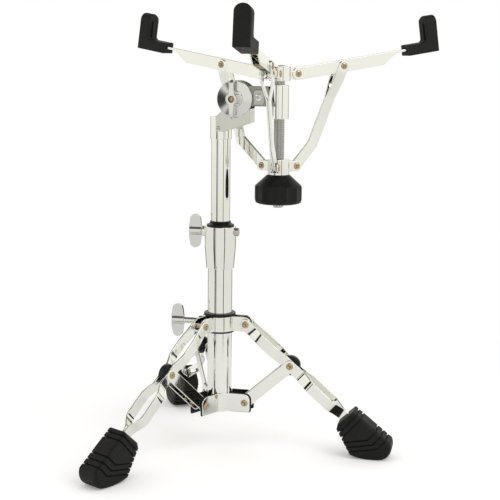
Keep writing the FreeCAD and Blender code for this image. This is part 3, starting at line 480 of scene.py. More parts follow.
def lathe(name: str, profile: Sequence[Point], steps: int = FINE) -> Object:
    """Spins a profile about the Z axis.

    Args:
        name: the object's name.
        profile: radius and height of each point, in mm, from end to end.
        steps: segments round.

    Returns:
        The new object, in mm.
    """
    piece = chain(name, profile)
    with editing(piece, "VERT"):
        bpy.ops.mesh.spin(steps=steps, angle=tau, center=(0, 0, 0), axis=(0, 0, 1))
        bpy.ops.mesh.select_all(action="SELECT")
        bpy.ops.mesh.remove_doubles(threshold=0.002)
        bpy.ops.mesh.normals_make_consistent(inside=False)
    return piece


def ring(points: Sequence[Point]) -> list[Point]:
    """Closes a profile onto its first point."""
    return [*points, points[0]]


def plug(name: str, radius: float, low: float, high: float, steps: int) -> Object:
    """A solid cylinder on the Z axis, in mm."""
    return lathe(name, [(0.0, low), (radius, low), (radius, high), (0.0, high)], steps)


def prism(name: str, outline: Sequence[Point], low: float, high: float) -> Object:
    """Extrudes an outline of the XZ plane along Y.

    Args:
        name: the object's name.
        outline: its points, in mm.
        low: Y of the near side.
        high: Y of the far side.

    Returns:
        The new object, in mm.
    """
    piece = chain(name, outline, closed=True)
    with editing(piece):
        bpy.ops.transform.translate(value=(0.0, low, 0.0))
        bpy.ops.mesh.extrude_region_move(TRANSFORM_OT_translate={"value": (0.0, high - low, 0.0)})
        bpy.ops.mesh.select_all(action="SELECT")
        bpy.ops.mesh.normals_make_consistent(inside=False)
    return piece


def sweep(radii: Point, start: float, end: float, steps: int, height: float = 0.0) -> list[Point]:
    """Points of an ellipse's arc about the Z axis.

    Args:
        radii: of the ellipse, across and up.
        start: the first angle, in degrees.
        end: the last angle, in degrees.
        steps: pieces of the arc.
        height: of the ellipse's centre.

    Returns:
        The points, both ends among them.
    """
    turns = [radians(start + (end - start) * step / steps) for step in range(steps + 1)]
    return [(radii[0] * cos(turn), height + radii[1] * sin(turn)) for turn in turns]


def arc(first: Point, last: Point, radius: float, steps: int) -> list[Point]:
    """Points of an arc that turns left from one point to another, without the last.

    Args:
        first: where it starts.
        last: where it ends.
        radius: of the arc.
        steps: pieces of the arc.

    Returns:
        The points.
    """
    (x0, z0), (x1, z1) = first, last
    chord = hypot(x1 - x0, z1 - z0)
    rise = sqrt(max(radius ** 2 - chord ** 2 / 4.0, 0.0))
    x, z = (x0 + x1) / 2 - (z1 - z0) / chord * rise, (z0 + z1) / 2 + (x1 - x0) / chord * rise
    start, end = atan2(z0 - z, x0 - x), atan2(z1 - z, x1 - x)
    turns = [start + (end - start) % tau * step / steps for step in range(steps)]
    return [(x + radius * cos(turn), z + radius * sin(turn)) for turn in turns]


def block(low: Sequence[float], high: Sequence[float]) -> Object:
    """A box between two corners, in mm."""
    bpy.ops.object.select_all(action="DESELECT")
    bpy.ops.mesh.primitive_cube_add(size=1.0, location=[(a + b) / 2 for a, b in zip(low, high)])
    piece = bpy.context.active_object
    piece.scale = [b - a for a, b in zip(low, high)]
    return applied(piece)


def carve(piece: Object, tool: Object, how: str = "DIFFERENCE") -> None:
    """Cuts, joins or intersects a piece with a tool, which is used up.

    Args:
        piece: the piece that stays.
        tool: the other solid.
        how: the boolean operation.
    """
    modify(piece, "BOOLEAN", operation=how, object=tool, solver="EXACT")
    bpy.data.objects.remove(tool, do_unlink=True)


def chamfer(piece: Object, which: Callable[[Edge], bool], width: float, segments: int) -> None:
    """Rounds the edges that a test picks.

    Args:
        piece: the object.
        which: the test.
        width: of the rounding, in the mesh's unit.
        segments: steps across it.
    """
    with editing(piece, "EDGE", "DESELECT") as mesh:
        for edge in mesh.edges:
            edge.select_set(which(edge))
        bmesh.update_edit_mesh(piece.data)
        bpy.ops.mesh.bevel(offset=width, segments=segments, affect="EDGES", clamp_overlap=True)


def merged(name: str, pieces: Sequence[Object]) -> Object:
    """Joins objects into one of that name."""
    alone(*pieces)
    bpy.ops.object.join()
    bpy.context.active_object.name = name
    return bpy.context.active_object


def axes(origin: Sequence[float], up: Sequence[float], along: Sequence[float]) -> Matrix:
    """A frame in metres whose Z is up and whose X leans towards along.

    Args:
        origin: its place in metres.
        up: its Z direction.
        along: a direction near its X.

    Returns:
        The 4 x 4 matrix.
    """
    z = Vector(up).normalized()
    x = (Vector(along) - z * z.dot(Vector(along))).normalized()
    turn = Matrix((x, z.cross(x), z)).transposed().to_4x4()
    return Matrix.Translation(Vector(origin)) @ turn


def sloped(pivot: Sequence[float], bearing: float, rise: float) -> Matrix:
    """The frame of a leg or an arm: X along it from its pivot, Z across it.

    Args:
        pivot: its pivot, in metres.
        bearing: where it points, in radians.
        rise: its slope upwards, in radians.

    Returns:
        The 4 x 4 matrix.
    """
    out = Vector((cos(bearing), sin(bearing), 0))
    along = out * cos(rise) + Vector((0, 0, sin(rise)))
    return axes(pivot, Vector((0, 0, cos(rise))) - out * sin(rise), along)


def around(radius: float, bearing: float, height: float, centre: float = 0.0) -> Triple:
    """A place at a bearing round an upright axis.

    Args:
        radius: distance from the axis, in mm.
        bearing: in degrees.
        height: in mm.
        centre: X of the axis, in mm.

    Returns:
        The place, in metres.
    """
    turn = radians(bearing)
    return (centre + radius * cos(turn)) * MM, radius * sin(turn) * MM, height * MM


def place(piece: Object, where: Matrix | None = None) -> Object:
    """Moves a piece made in mm to its place and applies that to the mesh."""
    piece.matrix_world = (where or Matrix()) @ Matrix.Scale(MM, 4)
    return applied(piece)


def reach(node: str, where: Matrix, within: float = 1.0) -> tuple[Vector, Vector]:
    """Measures a CAD node in a local frame.

    Args:
        node: the node.
        where: the frame.
        within: how far from its origin points count, in metres.

    Returns:
        The lowest and highest corner, in mm.
    """
    back = where.inverted()
    found = [back @ v.co for v in frame["nodes"][node].data.vertices]
    found = [p for p in found if p.length < within]
    low = Vector([min(p[i] for p in found) for i in range(3)])
    high = Vector([max(p[i] for p in found) for i in range(3)])
    return low / MM, high / MM


def cleaned(node: str) -> Object:
    """Copies a CAD node and merges the copy's split vertices and flat faces."""
    piece = bpy.data.objects.new(node + "_dressed", frame["nodes"][node].data.copy())
    bpy.context.scene.collection.objects.link(piece)
    piece.data.materials.clear()
    with editing(piece):
        bpy.ops.mesh.customdata_custom_splitnormals_clear()
        bpy.ops.mesh.remove_doubles(threshold=0.000004)
        bpy.ops.mesh.dissolve_limited(angle_limit=radians(0.8))
    return piece


def settle(piece: Object, body: str, skin: Skin, *nodes: str) -> None:
    """Gives a finished piece its finish, body and CAD nodes.

    Args:
        piece: the finished object.
        body: the body it rides.
        skin: its finish.
        nodes: the CAD nodes it stands for.
    """
    piece.data.materials.clear()
    piece.data.materials.append(skin.value.material())
    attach(piece, body)
    if nodes:
        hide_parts(*nodes)
    LOG.info("%s rides %s, %d faces", piece.name, body, len(piece.data.polygons))


def dress(node: str, body: str, skin: Skin, width: float, segments: int = 2) -> None:
    """Copies a CAD node, rounds the copy's edges and settles it in the node's place.

    Args:
        node: the node to copy.
        body: the body it rides.
        skin: its finish.
        width: the edge's width in mm, under half of the node's wall.
        segments: steps across the edge.
    """
    piece = cleaned(node)
    soften(piece, width, segments, unit=MM)
    settle(piece, body, skin, node)


# Pieces that come more than once

@dataclass(frozen=True)
class Tube:
    """An upright round tube with broken edges."""

    radius: float
    low: float
    top: float
    outer_edge: float
    inner_edge: float = 0.0
    wall: float = 1.5

    def fit(self, name: str) -> Object:
        """Makes the tube and returns it."""
        bore = self.radius - self.wall
        corner = [(bore, self.inner_edge)] if self.inner_edge else []
        corner += [(bore + self.inner_edge, 0.0), (self.radius - self.outer_edge, 0.0),
                   (self.radius, self.outer_edge)]
        line = [(r, self.low + z) for r, z in corner] + [(r, self.top - z) for r, z in reversed(corner)]
        piece = lathe(name, ring(line))
        soften(piece, 0.0)
        return place(piece)


@dataclass(frozen=True)
class WingScrew:
    """A cast wing screw whose blades are rounder than its hub."""

    hub: float = 5.6
    steep: float = 60.0
    blade: float = 1.4
    blade_steps: int = 4
    edge: float = 0.3

    def fit(self, node: str, joint: str) -> Object:
        """Copies a wing screw and rounds its edges.

        Args:
            node: the node to copy.
            joint: the joint that it turns in.

        Returns:
            The copy, in metres.
        """
        axis = JOINTS[joint]["pos_m"][2]
        piece = cleaned(node)
        chamfer(piece, lambda edge: self.on_blade(edge, axis), self.blade * MM, self.blade_steps)
        soften(piece, self.edge, unit=MM)
        return piece

    def on_blade(self, edge: Edge, axis: float) -> bool:
        """Tells whether this is a sharp edge beyond the hub."""
        if len(edge.link_faces) != 2 or edge.calc_face_angle(0.0) <= radians(self.steep):
            return False
        return min(abs(vert.co.z - axis) for vert in edge.verts) > self.hub * MM


@dataclass(frozen=True)
class Strip:
    """A wavy flat strip with round bends, tighter near the brace pivot to leave the brace its room."""

    edge: float = 0.8
    angle: float = 40.0
    bend: float = 5.0
    bend_steps: int = 9
    tight: float = 0.48
    tight_steps: int = 5
    near: float = 24.0
    shortest: float = 8.0
    kinks: Point = (6.0, 50.0)

    def fit(self, node: str, pivot: Sequence[float]) -> Object:
        """Copies a strip and rounds its bends and edges.

        Args:
            node: the node to copy.
            pivot: the brace's pivot, in metres.

        Returns:
            The copy, in metres.
        """
        piece = cleaned(node)
        chamfer(piece, lambda edge: self.is_bend(edge) and self.is_near(edge, pivot),
                self.bend * self.tight * MM, self.tight_steps)
        chamfer(piece, lambda edge: self.is_bend(edge) and not self.is_near(edge, pivot),
                self.bend * MM, self.bend_steps)
        with editing(piece):
            bpy.ops.mesh.vert_connect_concave()
        soften(piece, self.edge, 3, self.angle, unit=MM)
        return piece

    def is_bend(self, edge: Edge) -> bool:
        """Tells whether two flat runs of the strip meet at this edge."""
        if len(edge.link_faces) != 2 or edge.calc_length() < self.shortest * MM:
            return False
        least, most = map(radians, self.kinks)
        return least < edge.calc_face_angle(0.0) < most

    def is_near(self, edge: Edge, pivot: Sequence[float]) -> bool:
        """Tells whether the edge's middle is near the pivot."""
        middle = (edge.verts[0].co + edge.verts[1].co) / 2
        return (middle - Vector(pivot)).length < self.near * MM


@dataclass(frozen=True)
class Rivet:
    """A rivet with two domed and dimpled heads."""

    shank: float
    head: float
    crown: float
    dimple: float = 1.6
    sunk: float = 0.55
    lip: float = 0.05
    taper: float = 0.75
    cone: float = 0.1
    within: float = 0.02

    def fit(self, name: str, node: str, origin: Sequence[float], axis: Sequence[float]) -> Object:
        """Makes one rivet on an axis, as long as the CAD one.

        Args:
            name: the object's name.
            node: the CAD node that holds it.
            origin: a point on its axis, in metres.
            axis: the axis.

        Returns:
            The new object.
        """
        where = axes(origin, axis, (0, 0, 1))
        low, high = reach(node, where, self.within)
        curve = sweep((self.head, self.crown), 0.0, 90.0, 12, high.z - self.crown)
        rim = [(r, z) for r, z in curve if r > self.dimple]
        brink = rim[-1][1]
        floor = brink - self.sunk
        top = [*rim, (self.dimple, brink - self.lip), (self.dimple * self.taper, floor),
               (0.0, floor - self.cone)]
        foot = [(r, low.z + high.z - z) for r, z in reversed(top)]
        line = [*foot, (self.shank, low.z + self.crown), (self.shank, high.z - self.crown), *top]
        piece = lathe(name, line, MEDIUM)
        soften(piece, 0.0, smooth=50.0)
        return place(piece, where)


@dataclass(frozen=True)
class Boot:
    """A ribbed rubber foot in its leg's frame: X along the leg from its pivot, Z across it."""

    slope: float = 41.5
    start: float = 155.0
    length: float = 65.0
    depth: float = 40.0
    width: float = 30.0
    toe: float = 15.0
    sole: float = 70.0
    bevel: float = 4.6
    groove_width: float = 1.8
    groove_depth: float = 2.0
    knee: float = 0.06
    grooves: tuple[Point, ...] = ((0.11, 0.0), (0.21, 0.0), (0.55, 0.52), (0.67, 0.52), (0.78, 0.52))
    strip_start: float = -9.0
    strip_end: float = 192.2
    slot: Point = (2.15, 6.65)
    ground: Point = (-40.0, 130.0)
    ground_depth: float = -250.0

    def outline(self, inset: float) -> list[Point]:
        """Side outline, drawn in by an inset."""
        shares = (((0.054, -0.37), (1, 1)), ((0.535, -0.65), (0, 1)), ((0.95, -0.18), (-1, 1)),
                  ((0.885, 0.45), (-1, -1)), ((0.04, 0.38), (1, -1)), ((0.0, -0.22), (1, 0)))
        low, heel, toe, front, top, back = [
            (self.start + a * self.length + i * inset, b * self.depth + j * inset)
            for (a, b), (i, j) in shares]
        return [low, *arc(heel, toe, self.sole, 12), *arc(toe, front, self.toe, 12), front, top, back]

    def slab(self, inset: float) -> Object:
        """The boot's body, drawn in by an inset, with its long edges rounded."""
        half = self.width / 2 - inset
        piece = prism("boot", self.outline(inset), -half, half)
        chamfer(piece, lambda edge: all(abs(abs(v.co.y) - half) < 0.01 for v in edge.verts)
                and edge.verts[0].co.y * edge.verts[1].co.y > 0, self.bevel - inset / 2, 4)
        return piece

    def fit(self, name: str, pivot: Sequence[float]) -> Object:
        """Makes the boot of one leg.

        Args:
            name: the object's name.
            pivot: the leg's pivot, in metres.

        Returns:
            The new object.
        """
        skin, core = self.slab(0.0), self.slab(self.groove_depth)
        deep, side, knee = self.depth, self.width, self.knee * self.depth
        for share, lean in self.grooves:
            top, low = (self.start + part * self.length for part in (share, share - lean))
            line = [(top, deep), (top, knee), (low, -deep)]
            line += [(x + self.groove_width, z) for x, z in reversed(line)]
            carve(skin, prism("groove", line, -side, side))
        carve(core, skin, "UNION")
        half, tall = self.slot
        carve(core, block((self.start + self.strip_start, -half, -tall), (self.strip_end, half, tall)))
        lean = radians(self.slope)
        ends = [self.start + part for part in self.ground]
        floor = [(x, (x * sin(lean) - pivot[2] / MM) / cos(lean)) for x in ends]
        floor += [(x, self.ground_depth) for x in reversed(ends)]
        carve(core, prism("floor", floor, -side, side))
        soften(core, 0.35, 2, 32.0)
        core.name = name
        return place(core, sloped(pivot, atan2(pivot[1], pivot[0]), -lean))


@dataclass(frozen=True)
class Tip:
    """A rubber tip in its arm's frame: X along the arm from its pivot, Z across it."""

    rise: float = 9.0
    start: float = 143.0
    reach: float = 184.0
    width: float = 18.0
    low: float = -1.5
    step: float = 11.0
    top: float = 41.0
    face: float = 170.0
    brow: Point = (1.2, 5.0)
    fillet: float = 2.5
    arch: float = 8.0
    arch_foot: float = -20.0
    arch_over: float = 5.0
    rib: Point = (4.0, 1.4)
    rib_root: float = 2.0
    rib_ends: Point = (1.0, 9.0)
    mouth: tuple[float, ...] = (-3.0, 178.2, 4.95, 3.85, 7.15)

    def fit(self, name: str, pivot: Sequence[float], bearing: float) -> Object:
        """Makes the tip of one arm.

        Args:
            name: the object's name.
            pivot: the arm's pivot, in metres.
            bearing: of the arm, in degrees.

        Returns:
            The new object.
        """
        half, face = self.width / 2, self.face
        over, under = self.brow
        body = prism(name, [(self.start, self.low), (self.reach, self.low), (self.reach, self.top),
                            (face + over, self.top), (face, self.top - under),
                            (face, self.step + self.fillet), (face - self.fillet, self.step),
                            (self.start, self.step)], -half, half)
        crown = sweep((half, self.arch), 0.0, 180.0, 16, self.top - self.arch)
        arch = prism("arch", [(-half, self.arch_foot), (half, self.arch_foot), *crown],
                     self.start - self.arch_over, self.reach + self.arch_over)
        arch.rotation_euler.z = -pi / 2
        carve(body, applied(arch), "INTERSECT")
        soften(body, 1.0, 3, 40.0)
        wide, high = self.rib
        low, top = self.step + self.rib_ends[0], self.top - self.rib_ends[1]
        near, far = face - high, face + self.rib_root
        rib = prism("rib", [(near, low), (far, low), (far, top), (near, top)], -wide / 2, wide / 2)
        carve(body, rib, "UNION")
        start, end, side, below, above = self.mouth
        carve(body, block((self.start + start, -side, below), (end, side, above)))
        soften(body, 0.25, 2, 50.0)
        return place(body, sloped(pivot, radians(bearing), radians(self.rise)))


# Sub-assemblies

@dataclass
class Column:
    """The fixed column: tube, lower hub, height clamp and its screw."""

    tube: Tube = Tube(14.3, 44.6, 246.0, 0.5, 0.4)
    hub_radius: float = 32.0
    hub_height: float = 56.0
    bushing_radii: tuple[float, ...] = (11.15, 12.75, 14.25, 15.8)
    bushing_heights: tuple[float, ...] = (226.0, 246.0, 262.2, 268.4)
    bearings: tuple[float, ...] = (0.0, 120.0, 240.0)
    rivet: Rivet = Rivet(2.6, 4.1, 1.5)

    def build(self) -> None:
        """Builds and dresses the pieces."""
        settle(self.tube.fit("base_tube_chrome"), "base", Skin.CHROME, "base_tube")
        dress("brace_hub_plates", "base", Skin.CHROME, 0.7, 3)
        dress("brace_hub_liners", "base", Skin.NYLON, 0.3)
        rivets = []
        for bearing in self.bearings:
            turn = radians(bearing)
            spot = around(self.hub_radius, bearing, self.hub_height)
            rivets.append(self.rivet.fit("hub_rivet", "brace_hub_rivets", spot, (-sin(turn), cos(turn), 0)))
        settle(merged("hub_rivets_domed", rivets), "base", Skin.BRASS, "brace_hub_rivets")
        dress("height_clamp", "base", Skin.CHROME, 0.7, 3)
        dress("height_clamp_stud", "base", Skin.STEEL, 0.4)
        settle(self.bushing(), "base", Skin.NYLON, "height_bushing")
        screw = WingScrew().fit("height_wing_screw", "height_screw_turn")
        settle(screw, "height_screw", Skin.CAST, "height_wing_screw")

    def bushing(self) -> Object:
        """The bushing: a thin ring on the clamp, with a slim lip round the post and a stepped skirt."""
        bore, skirt, neck, rim = self.bushing_radii
        low, step, ledge, end = self.bushing_heights
        line = [(bore, low), (skirt, low), (skirt, step), (neck, step), (neck, ledge), (rim - 0.3, ledge)]
        line += [(rim, ledge + 0.3), *arc((rim, ledge + 1.3), (rim - 1.0, ledge + 2.3), 1.0, 5)]
        line += [(rim - 1.0, ledge + 2.3), (bore + 1.9, ledge + 3.0), (bore + 0.8, end - 1.6)]
        line += [(bore + 0.7, end - 0.3), (bore + 0.4, end)]
        piece = lathe("height_bushing_lipped", ring([*line, (bore, end)]))
        soften(piece, 0.0)
        return place(piece)


@dataclass
class Tripod:
    """The folding tripod: sliding collar, legs, braces and feet."""

    count: int = 3
    rivet: Rivet = Rivet(2.6, 4.1, 1.5)

    def build(self) -> None:
        """Builds and dresses the pieces."""
        dress("leg_collar_sleeve", "leg_collar", Skin.NYLON, 0.7, 3)
        dress("leg_collar_plates", "leg_collar", Skin.CHROME, 0.7, 3)
        joints = [JOINTS[f"leg_{k}_fold"] for k in range(1, self.count + 1)]
        rivets = [self.rivet.fit("collar_rivet", "leg_collar_rivets", j["pos_m"], j["axis"]) for j in joints]
        settle(merged("collar_rivets_domed", rivets), "leg_collar", Skin.BRASS, "leg_collar_rivets")
        screw = WingScrew().fit("leg_wing_screw", "leg_screw_turn")
        settle(screw, "leg_screw", Skin.CAST, "leg_wing_screw")
        for k in range(1, self.count + 1):
            self.leg(k)

    def leg(self, k: int) -> None:
        """Builds one leg with its brace and foot.

        Args:
            k: the leg's number.
        """
        body = f"leg_{k}"
        joint = JOINTS[f"brace_{k}_fold"]
        for node in (f"leg_{k}_left_strip", f"leg_{k}_right_strip"):
            settle(Strip().fit(node, joint["pos_m"]), body, Skin.CHROME, node)
        dress(f"leg_{k}_spacer", body, Skin.NYLON, 0.8, 3)
        rivet = self.rivet.fit(f"leg_{k}_rivet_domed", f"leg_{k}_rivet", joint["pos_m"], joint["axis"])
        settle(rivet, body, Skin.BRASS, f"leg_{k}_rivet")
        foot = Boot().fit(f"foot_{k}_ribbed", JOINTS[f"leg_{k}_fold"]["pos_m"])
        settle(foot, body, Skin.FOOT, f"foot_{k}")
        dress(f"brace_{k}", f"brace_{k}", Skin.CHROME, 0.7, 3)


@dataclass
class Post:
    """The sliding upper tube."""

    tube: Tube = Tube(11.1, 140.0, 386.0, 0.4)

    def build(self) -> None:
        """Builds and dresses the pieces."""
        settle(self.tube.fit("upper_tube_chrome"), "post", Skin.CHROME, "upper_tube")
        dress("post_guide", "guide", Skin.NYLON, 0.4)


@dataclass
class Tilter:
    """The tilter between the post and the basket."""

    centre: Point = (18.5, 408.0)
    front: float = 16.95
    back: float = 13.95
    disc: float = 20.3
    fall: float = 2.1
    boss: float = 8.8
    bolt: float = 4.0
    bolt_end: float = 15.85
    wing_start: float = 17.07
    wing_depth: float = 15.0
    wing_reach: float = 21.9
    wing_arch: float = 6.0
    wing_root: Point = (3.4, 4.9)
    wing_end: float = 2.2
    hub: float = 6.3
    hub_bore: Triple = (3.5, 22.0, 40.0)
    screw: Point = (45.6, 410.0)
    screw_head: Triple = (4.2, 1.7, 1.5)
    screw_shank: float = 2.45
    cross: Point = (2.3, 0.55)
    plate: float = 12.05
    pad: float = 0.9
    pad_edges: tuple[Point, ...] = ((39.4, 401.2), (50.2, 401.2), (52.2, 404.0), (52.2, 414.6), (49.6, 418.6),
                                    (41.6, 418.6), (39.4, 415.4))

    def build(self) -> None:
        """Builds and dresses the pieces."""
        dress("tilter_sleeve", "post", Skin.CHROME, 0.45, 3)
        dress("tilter_lower_bracket", "post", Skin.SATIN, 0.4)
        # Painted shade: the nut gets chrome darkened to stand in for its shade.
        dress("tilter_nut", "post", Skin.DARK, 0.4)
        dress("tilter_tube_rivet", "post", Skin.STEEL, 0.4)
        settle(self.dish(), "post", Skin.CAST, "tilter_disc")
        settle(self.propeller(), "tilter_bolt", Skin.CAST, "tilter_wing_bolt")
        settle(self.stud(), "tilter_bolt", Skin.BRASS)
        # Painted shade: the upper bracket gets chrome darkened to stand in for its shade and dark
        # reflections.
        dress("tilter_upper_bracket", "basket", Skin.DARK, 0.4)
        # Painted shade: the pad gets chrome darkened less than its bracket.
        settle(self.raised_pad(), "basket", Skin.PRESSED)
        settle(self.cross_screw(), "basket", Skin.CHROME, "tilter_bracket_screw")

    def facing(self, spot: Point = (0.0, 0.0)) -> Matrix:
        """The frame of a round piece on an axis across the tilter, with Z towards the front."""
        return axes((spot[0] * MM, 0.0, spot[1] * MM), (0, -1, 0), (1, 0, 0))

    def dish(self) -> Object:
        """The front disc: a flat boss in a shallow cone that falls back to the rim."""
        bore, rim = self.bolt + 0.1, self.front - self.fall
        line = [(bore, self.back), (self.disc, self.back), (self.disc, rim - 0.5), (self.disc - 0.5, rim)]
        steps = ((0.9, -0.55), (0.5, -0.9), (0.1, -0.3), (-0.4, 0.0))
        line += [(self.boss + r, self.front + z) for r, z in steps]
        piece = lathe("tilter_disc_dished", ring([*line, (bore, self.front)]))
        soften(piece, 0.25, 2, 25.0)
        return place(piece, self.facing(self.centre))

    def propeller(self) -> Object:
        """The wing bolt: two slender blades on a round hub, and its shank."""
        end, reach = self.wing_end, self.wing_reach
        blade = [self.wing_root, (end, reach - 2.0), (end - 0.8, reach - 0.5), (0.0, reach)]
        half = [*blade, *[(-x, z) for x, z in reversed(blade[:-1])]]
        half += sweep((self.hub, self.hub), 126.0, 234.0, 18)
        low, high = -(self.wing_start + self.wing_depth), -self.wing_start
        name = "tilter_wing_bolt_bladed"
        piece = prism(name, [*half, *[(-x, -z) for x, z in half]], low, high)
        arch = sweep((self.wing_depth / 2, self.wing_arch), 0.0, 180.0, 18, reach - self.wing_arch)
        side = prism("side", [*arch, *[(-x, -z) for x, z in arch]], -30.0, 30.0)
        side.rotation_euler.z = pi / 2
        side.location.y = (low + high) / 2
        carve(piece, applied(side), "INTERSECT")
        hole = plug("hole", *self.hub_bore, MEDIUM)
        hole.matrix_world = self.facing()
        carve(piece, applied(hole))
        soften(piece, 0.8, 3, 28.0)
        place(piece, Matrix.Translation((self.centre[0] * MM, 0, self.centre[1] * MM)))
        radius, tail, top = self.bolt - 0.05, -self.bolt_end, self.wing_start + 0.6
        shank = lathe("shank", [(0.0, tail), (self.bolt - 0.5, tail), (radius, tail + 0.5), (radius, top),
                                (0.0, top)], MEDIUM)
        soften(shank, 0.0)
        return merged(name, [place(shank, self.facing(self.centre)), piece])

    def stud(self) -> Object:
        """The bolt's end in the wing's hub."""
        top = self.wing_start + self.wing_depth - 3.6
        line = [(0.0, 21.0), (3.3, 21.0), (3.3, top - 0.7), (2.5, top), (1.9, top), (1.5, top - 0.8)]
        piece = lathe("tilter_stud_end", [*line, (0.0, top - 1.0)], MEDIUM)
        soften(piece, 0.15, 2)
        return place(piece, self.facing(self.centre))

    def raised_pad(self) -> Object:
        """The pressed pad round the bracket's screw."""
        near, far = -(self.plate + self.pad), -(self.plate - 0.4)
        piece = prism("tilter_bracket_pad", self.pad_edges, near, far)
        soften(piece, 0.8, 3)
        return place(piece)

    def cross_screw(self) -> Object:
        """The bracket's screw, with a cross recess in its domed head."""
        where = self.facing(self.screw)
        low, high = reach("tilter_bracket_screw", where)
        radius, crown, seat = self.screw_head
        head = sweep((radius, crown), 0.0, 90.0, 10, high.z - seat)
        foot = [(r, low.z + high.z - z) for r, z in reversed(head)]
        line = [*foot, (self.screw_shank, low.z + seat), (self.screw_shank, high.z - seat), *head]
        piece = lathe("tilter_bracket_screw_cross", line, 48)
        for long, short in (self.cross, self.cross[::-1]):
            carve(piece, block((-long, -short, high.z - 1.1), (long, short, high.z + 1.0)))
        soften(piece, 0.12, 2, 40.0)
        return place(piece, where)


@dataclass
class Basket:
    """The three-arm basket with its threaded rod and knob."""

    count: int = 3
    centre: float = 67.0
    rod_radius: float = 6.4
    rod_steps: int = 28
    thread: float = 0.8
    pitch: float = 2.0
    knob_radius: float = 27.0
    knob_neck: float = 14.0
    knob_cone: float = 12.5
    scallops: int = 12
    scallop_radius: float = 30.0
    scallop_place: float = 55.6
    hub_radius: float = 21.0
    hub_height: float = 332.9
    bearings: tuple[float, ...] = (36.0, 156.0, 270.0)
    rivet: Rivet = Rivet(2.2, 3.9, 1.3)

    def build(self) -> None:
        """Builds and dresses the pieces."""
        dress("rod_sleeve", "basket", Skin.CHROME, 0.6, 3)
        settle(self.rod(), "basket", Skin.STEEL, "basket_rod")
        dress("basket_upper_hub", "basket", Skin.CHROME, 0.6, 3)
        dress("basket_lower_hub", "grip_hub", Skin.CHROME, 0.6, 3)
        arms = [JOINTS[f"arm_{k}_swing"] for k in range(1, self.count + 1)]
        upper = [self.rivet.fit("upper_rivet", "basket_upper_rivets", j["pos_m"], j["axis"]) for j in arms]
        settle(merged("basket_upper_rivets_domed", upper), "basket", Skin.BRASS, "basket_upper_rivets")
        lower = []
        for bearing, joint in zip(self.bearings, arms):
            spot = around(self.hub_radius, bearing, self.hub_height, self.centre)
            lower.append(self.rivet.fit("lower_rivet", "basket_lower_rivets", spot, joint["axis"]))
        settle(merged("basket_lower_rivets_domed", lower), "grip_hub", Skin.BRASS, "basket_lower_rivets")
        settle(self.knob(), "knob", Skin.KNOB, "basket_knob")
        for k in range(1, self.count + 1):
            self.arm(k)

    def upright(self) -> Matrix:
        """The frame of a piece on the rod's axis."""
        return Matrix.Translation((self.centre * MM, 0, 0))

    def knob(self) -> Object:
        """The knob: a cone over a round grip with twelve shallow scallops."""
        low, high = (corner.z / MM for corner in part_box("basket_knob"))
        bore, neck, wide = self.rod_radius + 0.05, self.knob_neck, self.knob_radius
        line = [(bore, low), (wide - 4.6, low), (wide - 1.4, low + 1.4), (wide, low + 4.6)]
        line += [(wide, high - self.knob_cone), (neck, high - 0.6), (neck - 0.6, high), (bore, high)]
        piece = lathe("basket_knob_scalloped", ring(line), 144)
        for step in range(self.scallops):
            turn = tau * (step + 0.5) / self.scallops
            tool = plug("scallop", self.scallop_radius, low - 5, high + 5, 120)
            tool.location = (self.scallop_place * cos(turn), self.scallop_place * sin(turn), 0.0)
            carve(piece, applied(tool))
        soften(piece, 0.5, 3, 14.0, 40.0)
        return place(piece, self.upright())

    def rod(self) -> Object:
        """The rod with its rolled thread."""
        start, end = (corner.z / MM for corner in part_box("basket_rod"))
        crest, root = self.rod_radius, self.rod_radius - self.thread
        turns = int((end - start - 2.0) / self.pitch)
        first = start + 1.0
        shares = ((root, 0.0), (root, 0.3), (crest, 0.5), (crest, 0.8), (root, 1.0))
        name = "basket_rod_threaded"
        piece = chain(name, [(radius, first + self.pitch * share) for radius, share in shares])
        modify(piece, "SCREW", angle=tau, screw_offset=self.pitch, iterations=turns, steps=self.rod_steps,
               render_steps=self.rod_steps, axis="Z", use_merge_vertices=True, merge_threshold=0.002,
               use_normal_calculate=True)
        last = first + turns * self.pitch
        inner, tip = root - 0.05, root - 0.6
        core = lathe("rod_core", [(0.0, start), (tip, start), (inner, first), (inner, last),
                                  (inner, end - 0.6), (tip, end), (0.0, end)], MEDIUM)
        whole = merged(name, [core, piece])
        soften(whole, 0.0, smooth=35.0)
        return place(whole, self.upright())

    def arm(self, k: int) -> None:
        """Builds one arm with its strut and tip.

        Args:
            k: the arm's number.
        """
        body = f"arm_{k}"
        dress(f"arm_{k}", body, Skin.CHROME, 0.65, 3)
        tip = Tip().fit(f"arm_{k}_tip_arched", JOINTS[f"arm_{k}_swing"]["pos_m"], self.bearings[k - 1])
        settle(tip, body, Skin.TIP, f"arm_{k}_tip")
        joint = JOINTS[f"strut_{k}_swing"]
        rivet = self.rivet.fit(f"arm_{k}_rivet_domed", f"arm_{k}_rivet", joint["pos_m"], joint["axis"])
        settle(rivet, body, Skin.BRASS, f"arm_{k}_rivet")
        dress(f"strut_{k}", f"strut_{k}", Skin.CHROME, 0.75, 3)


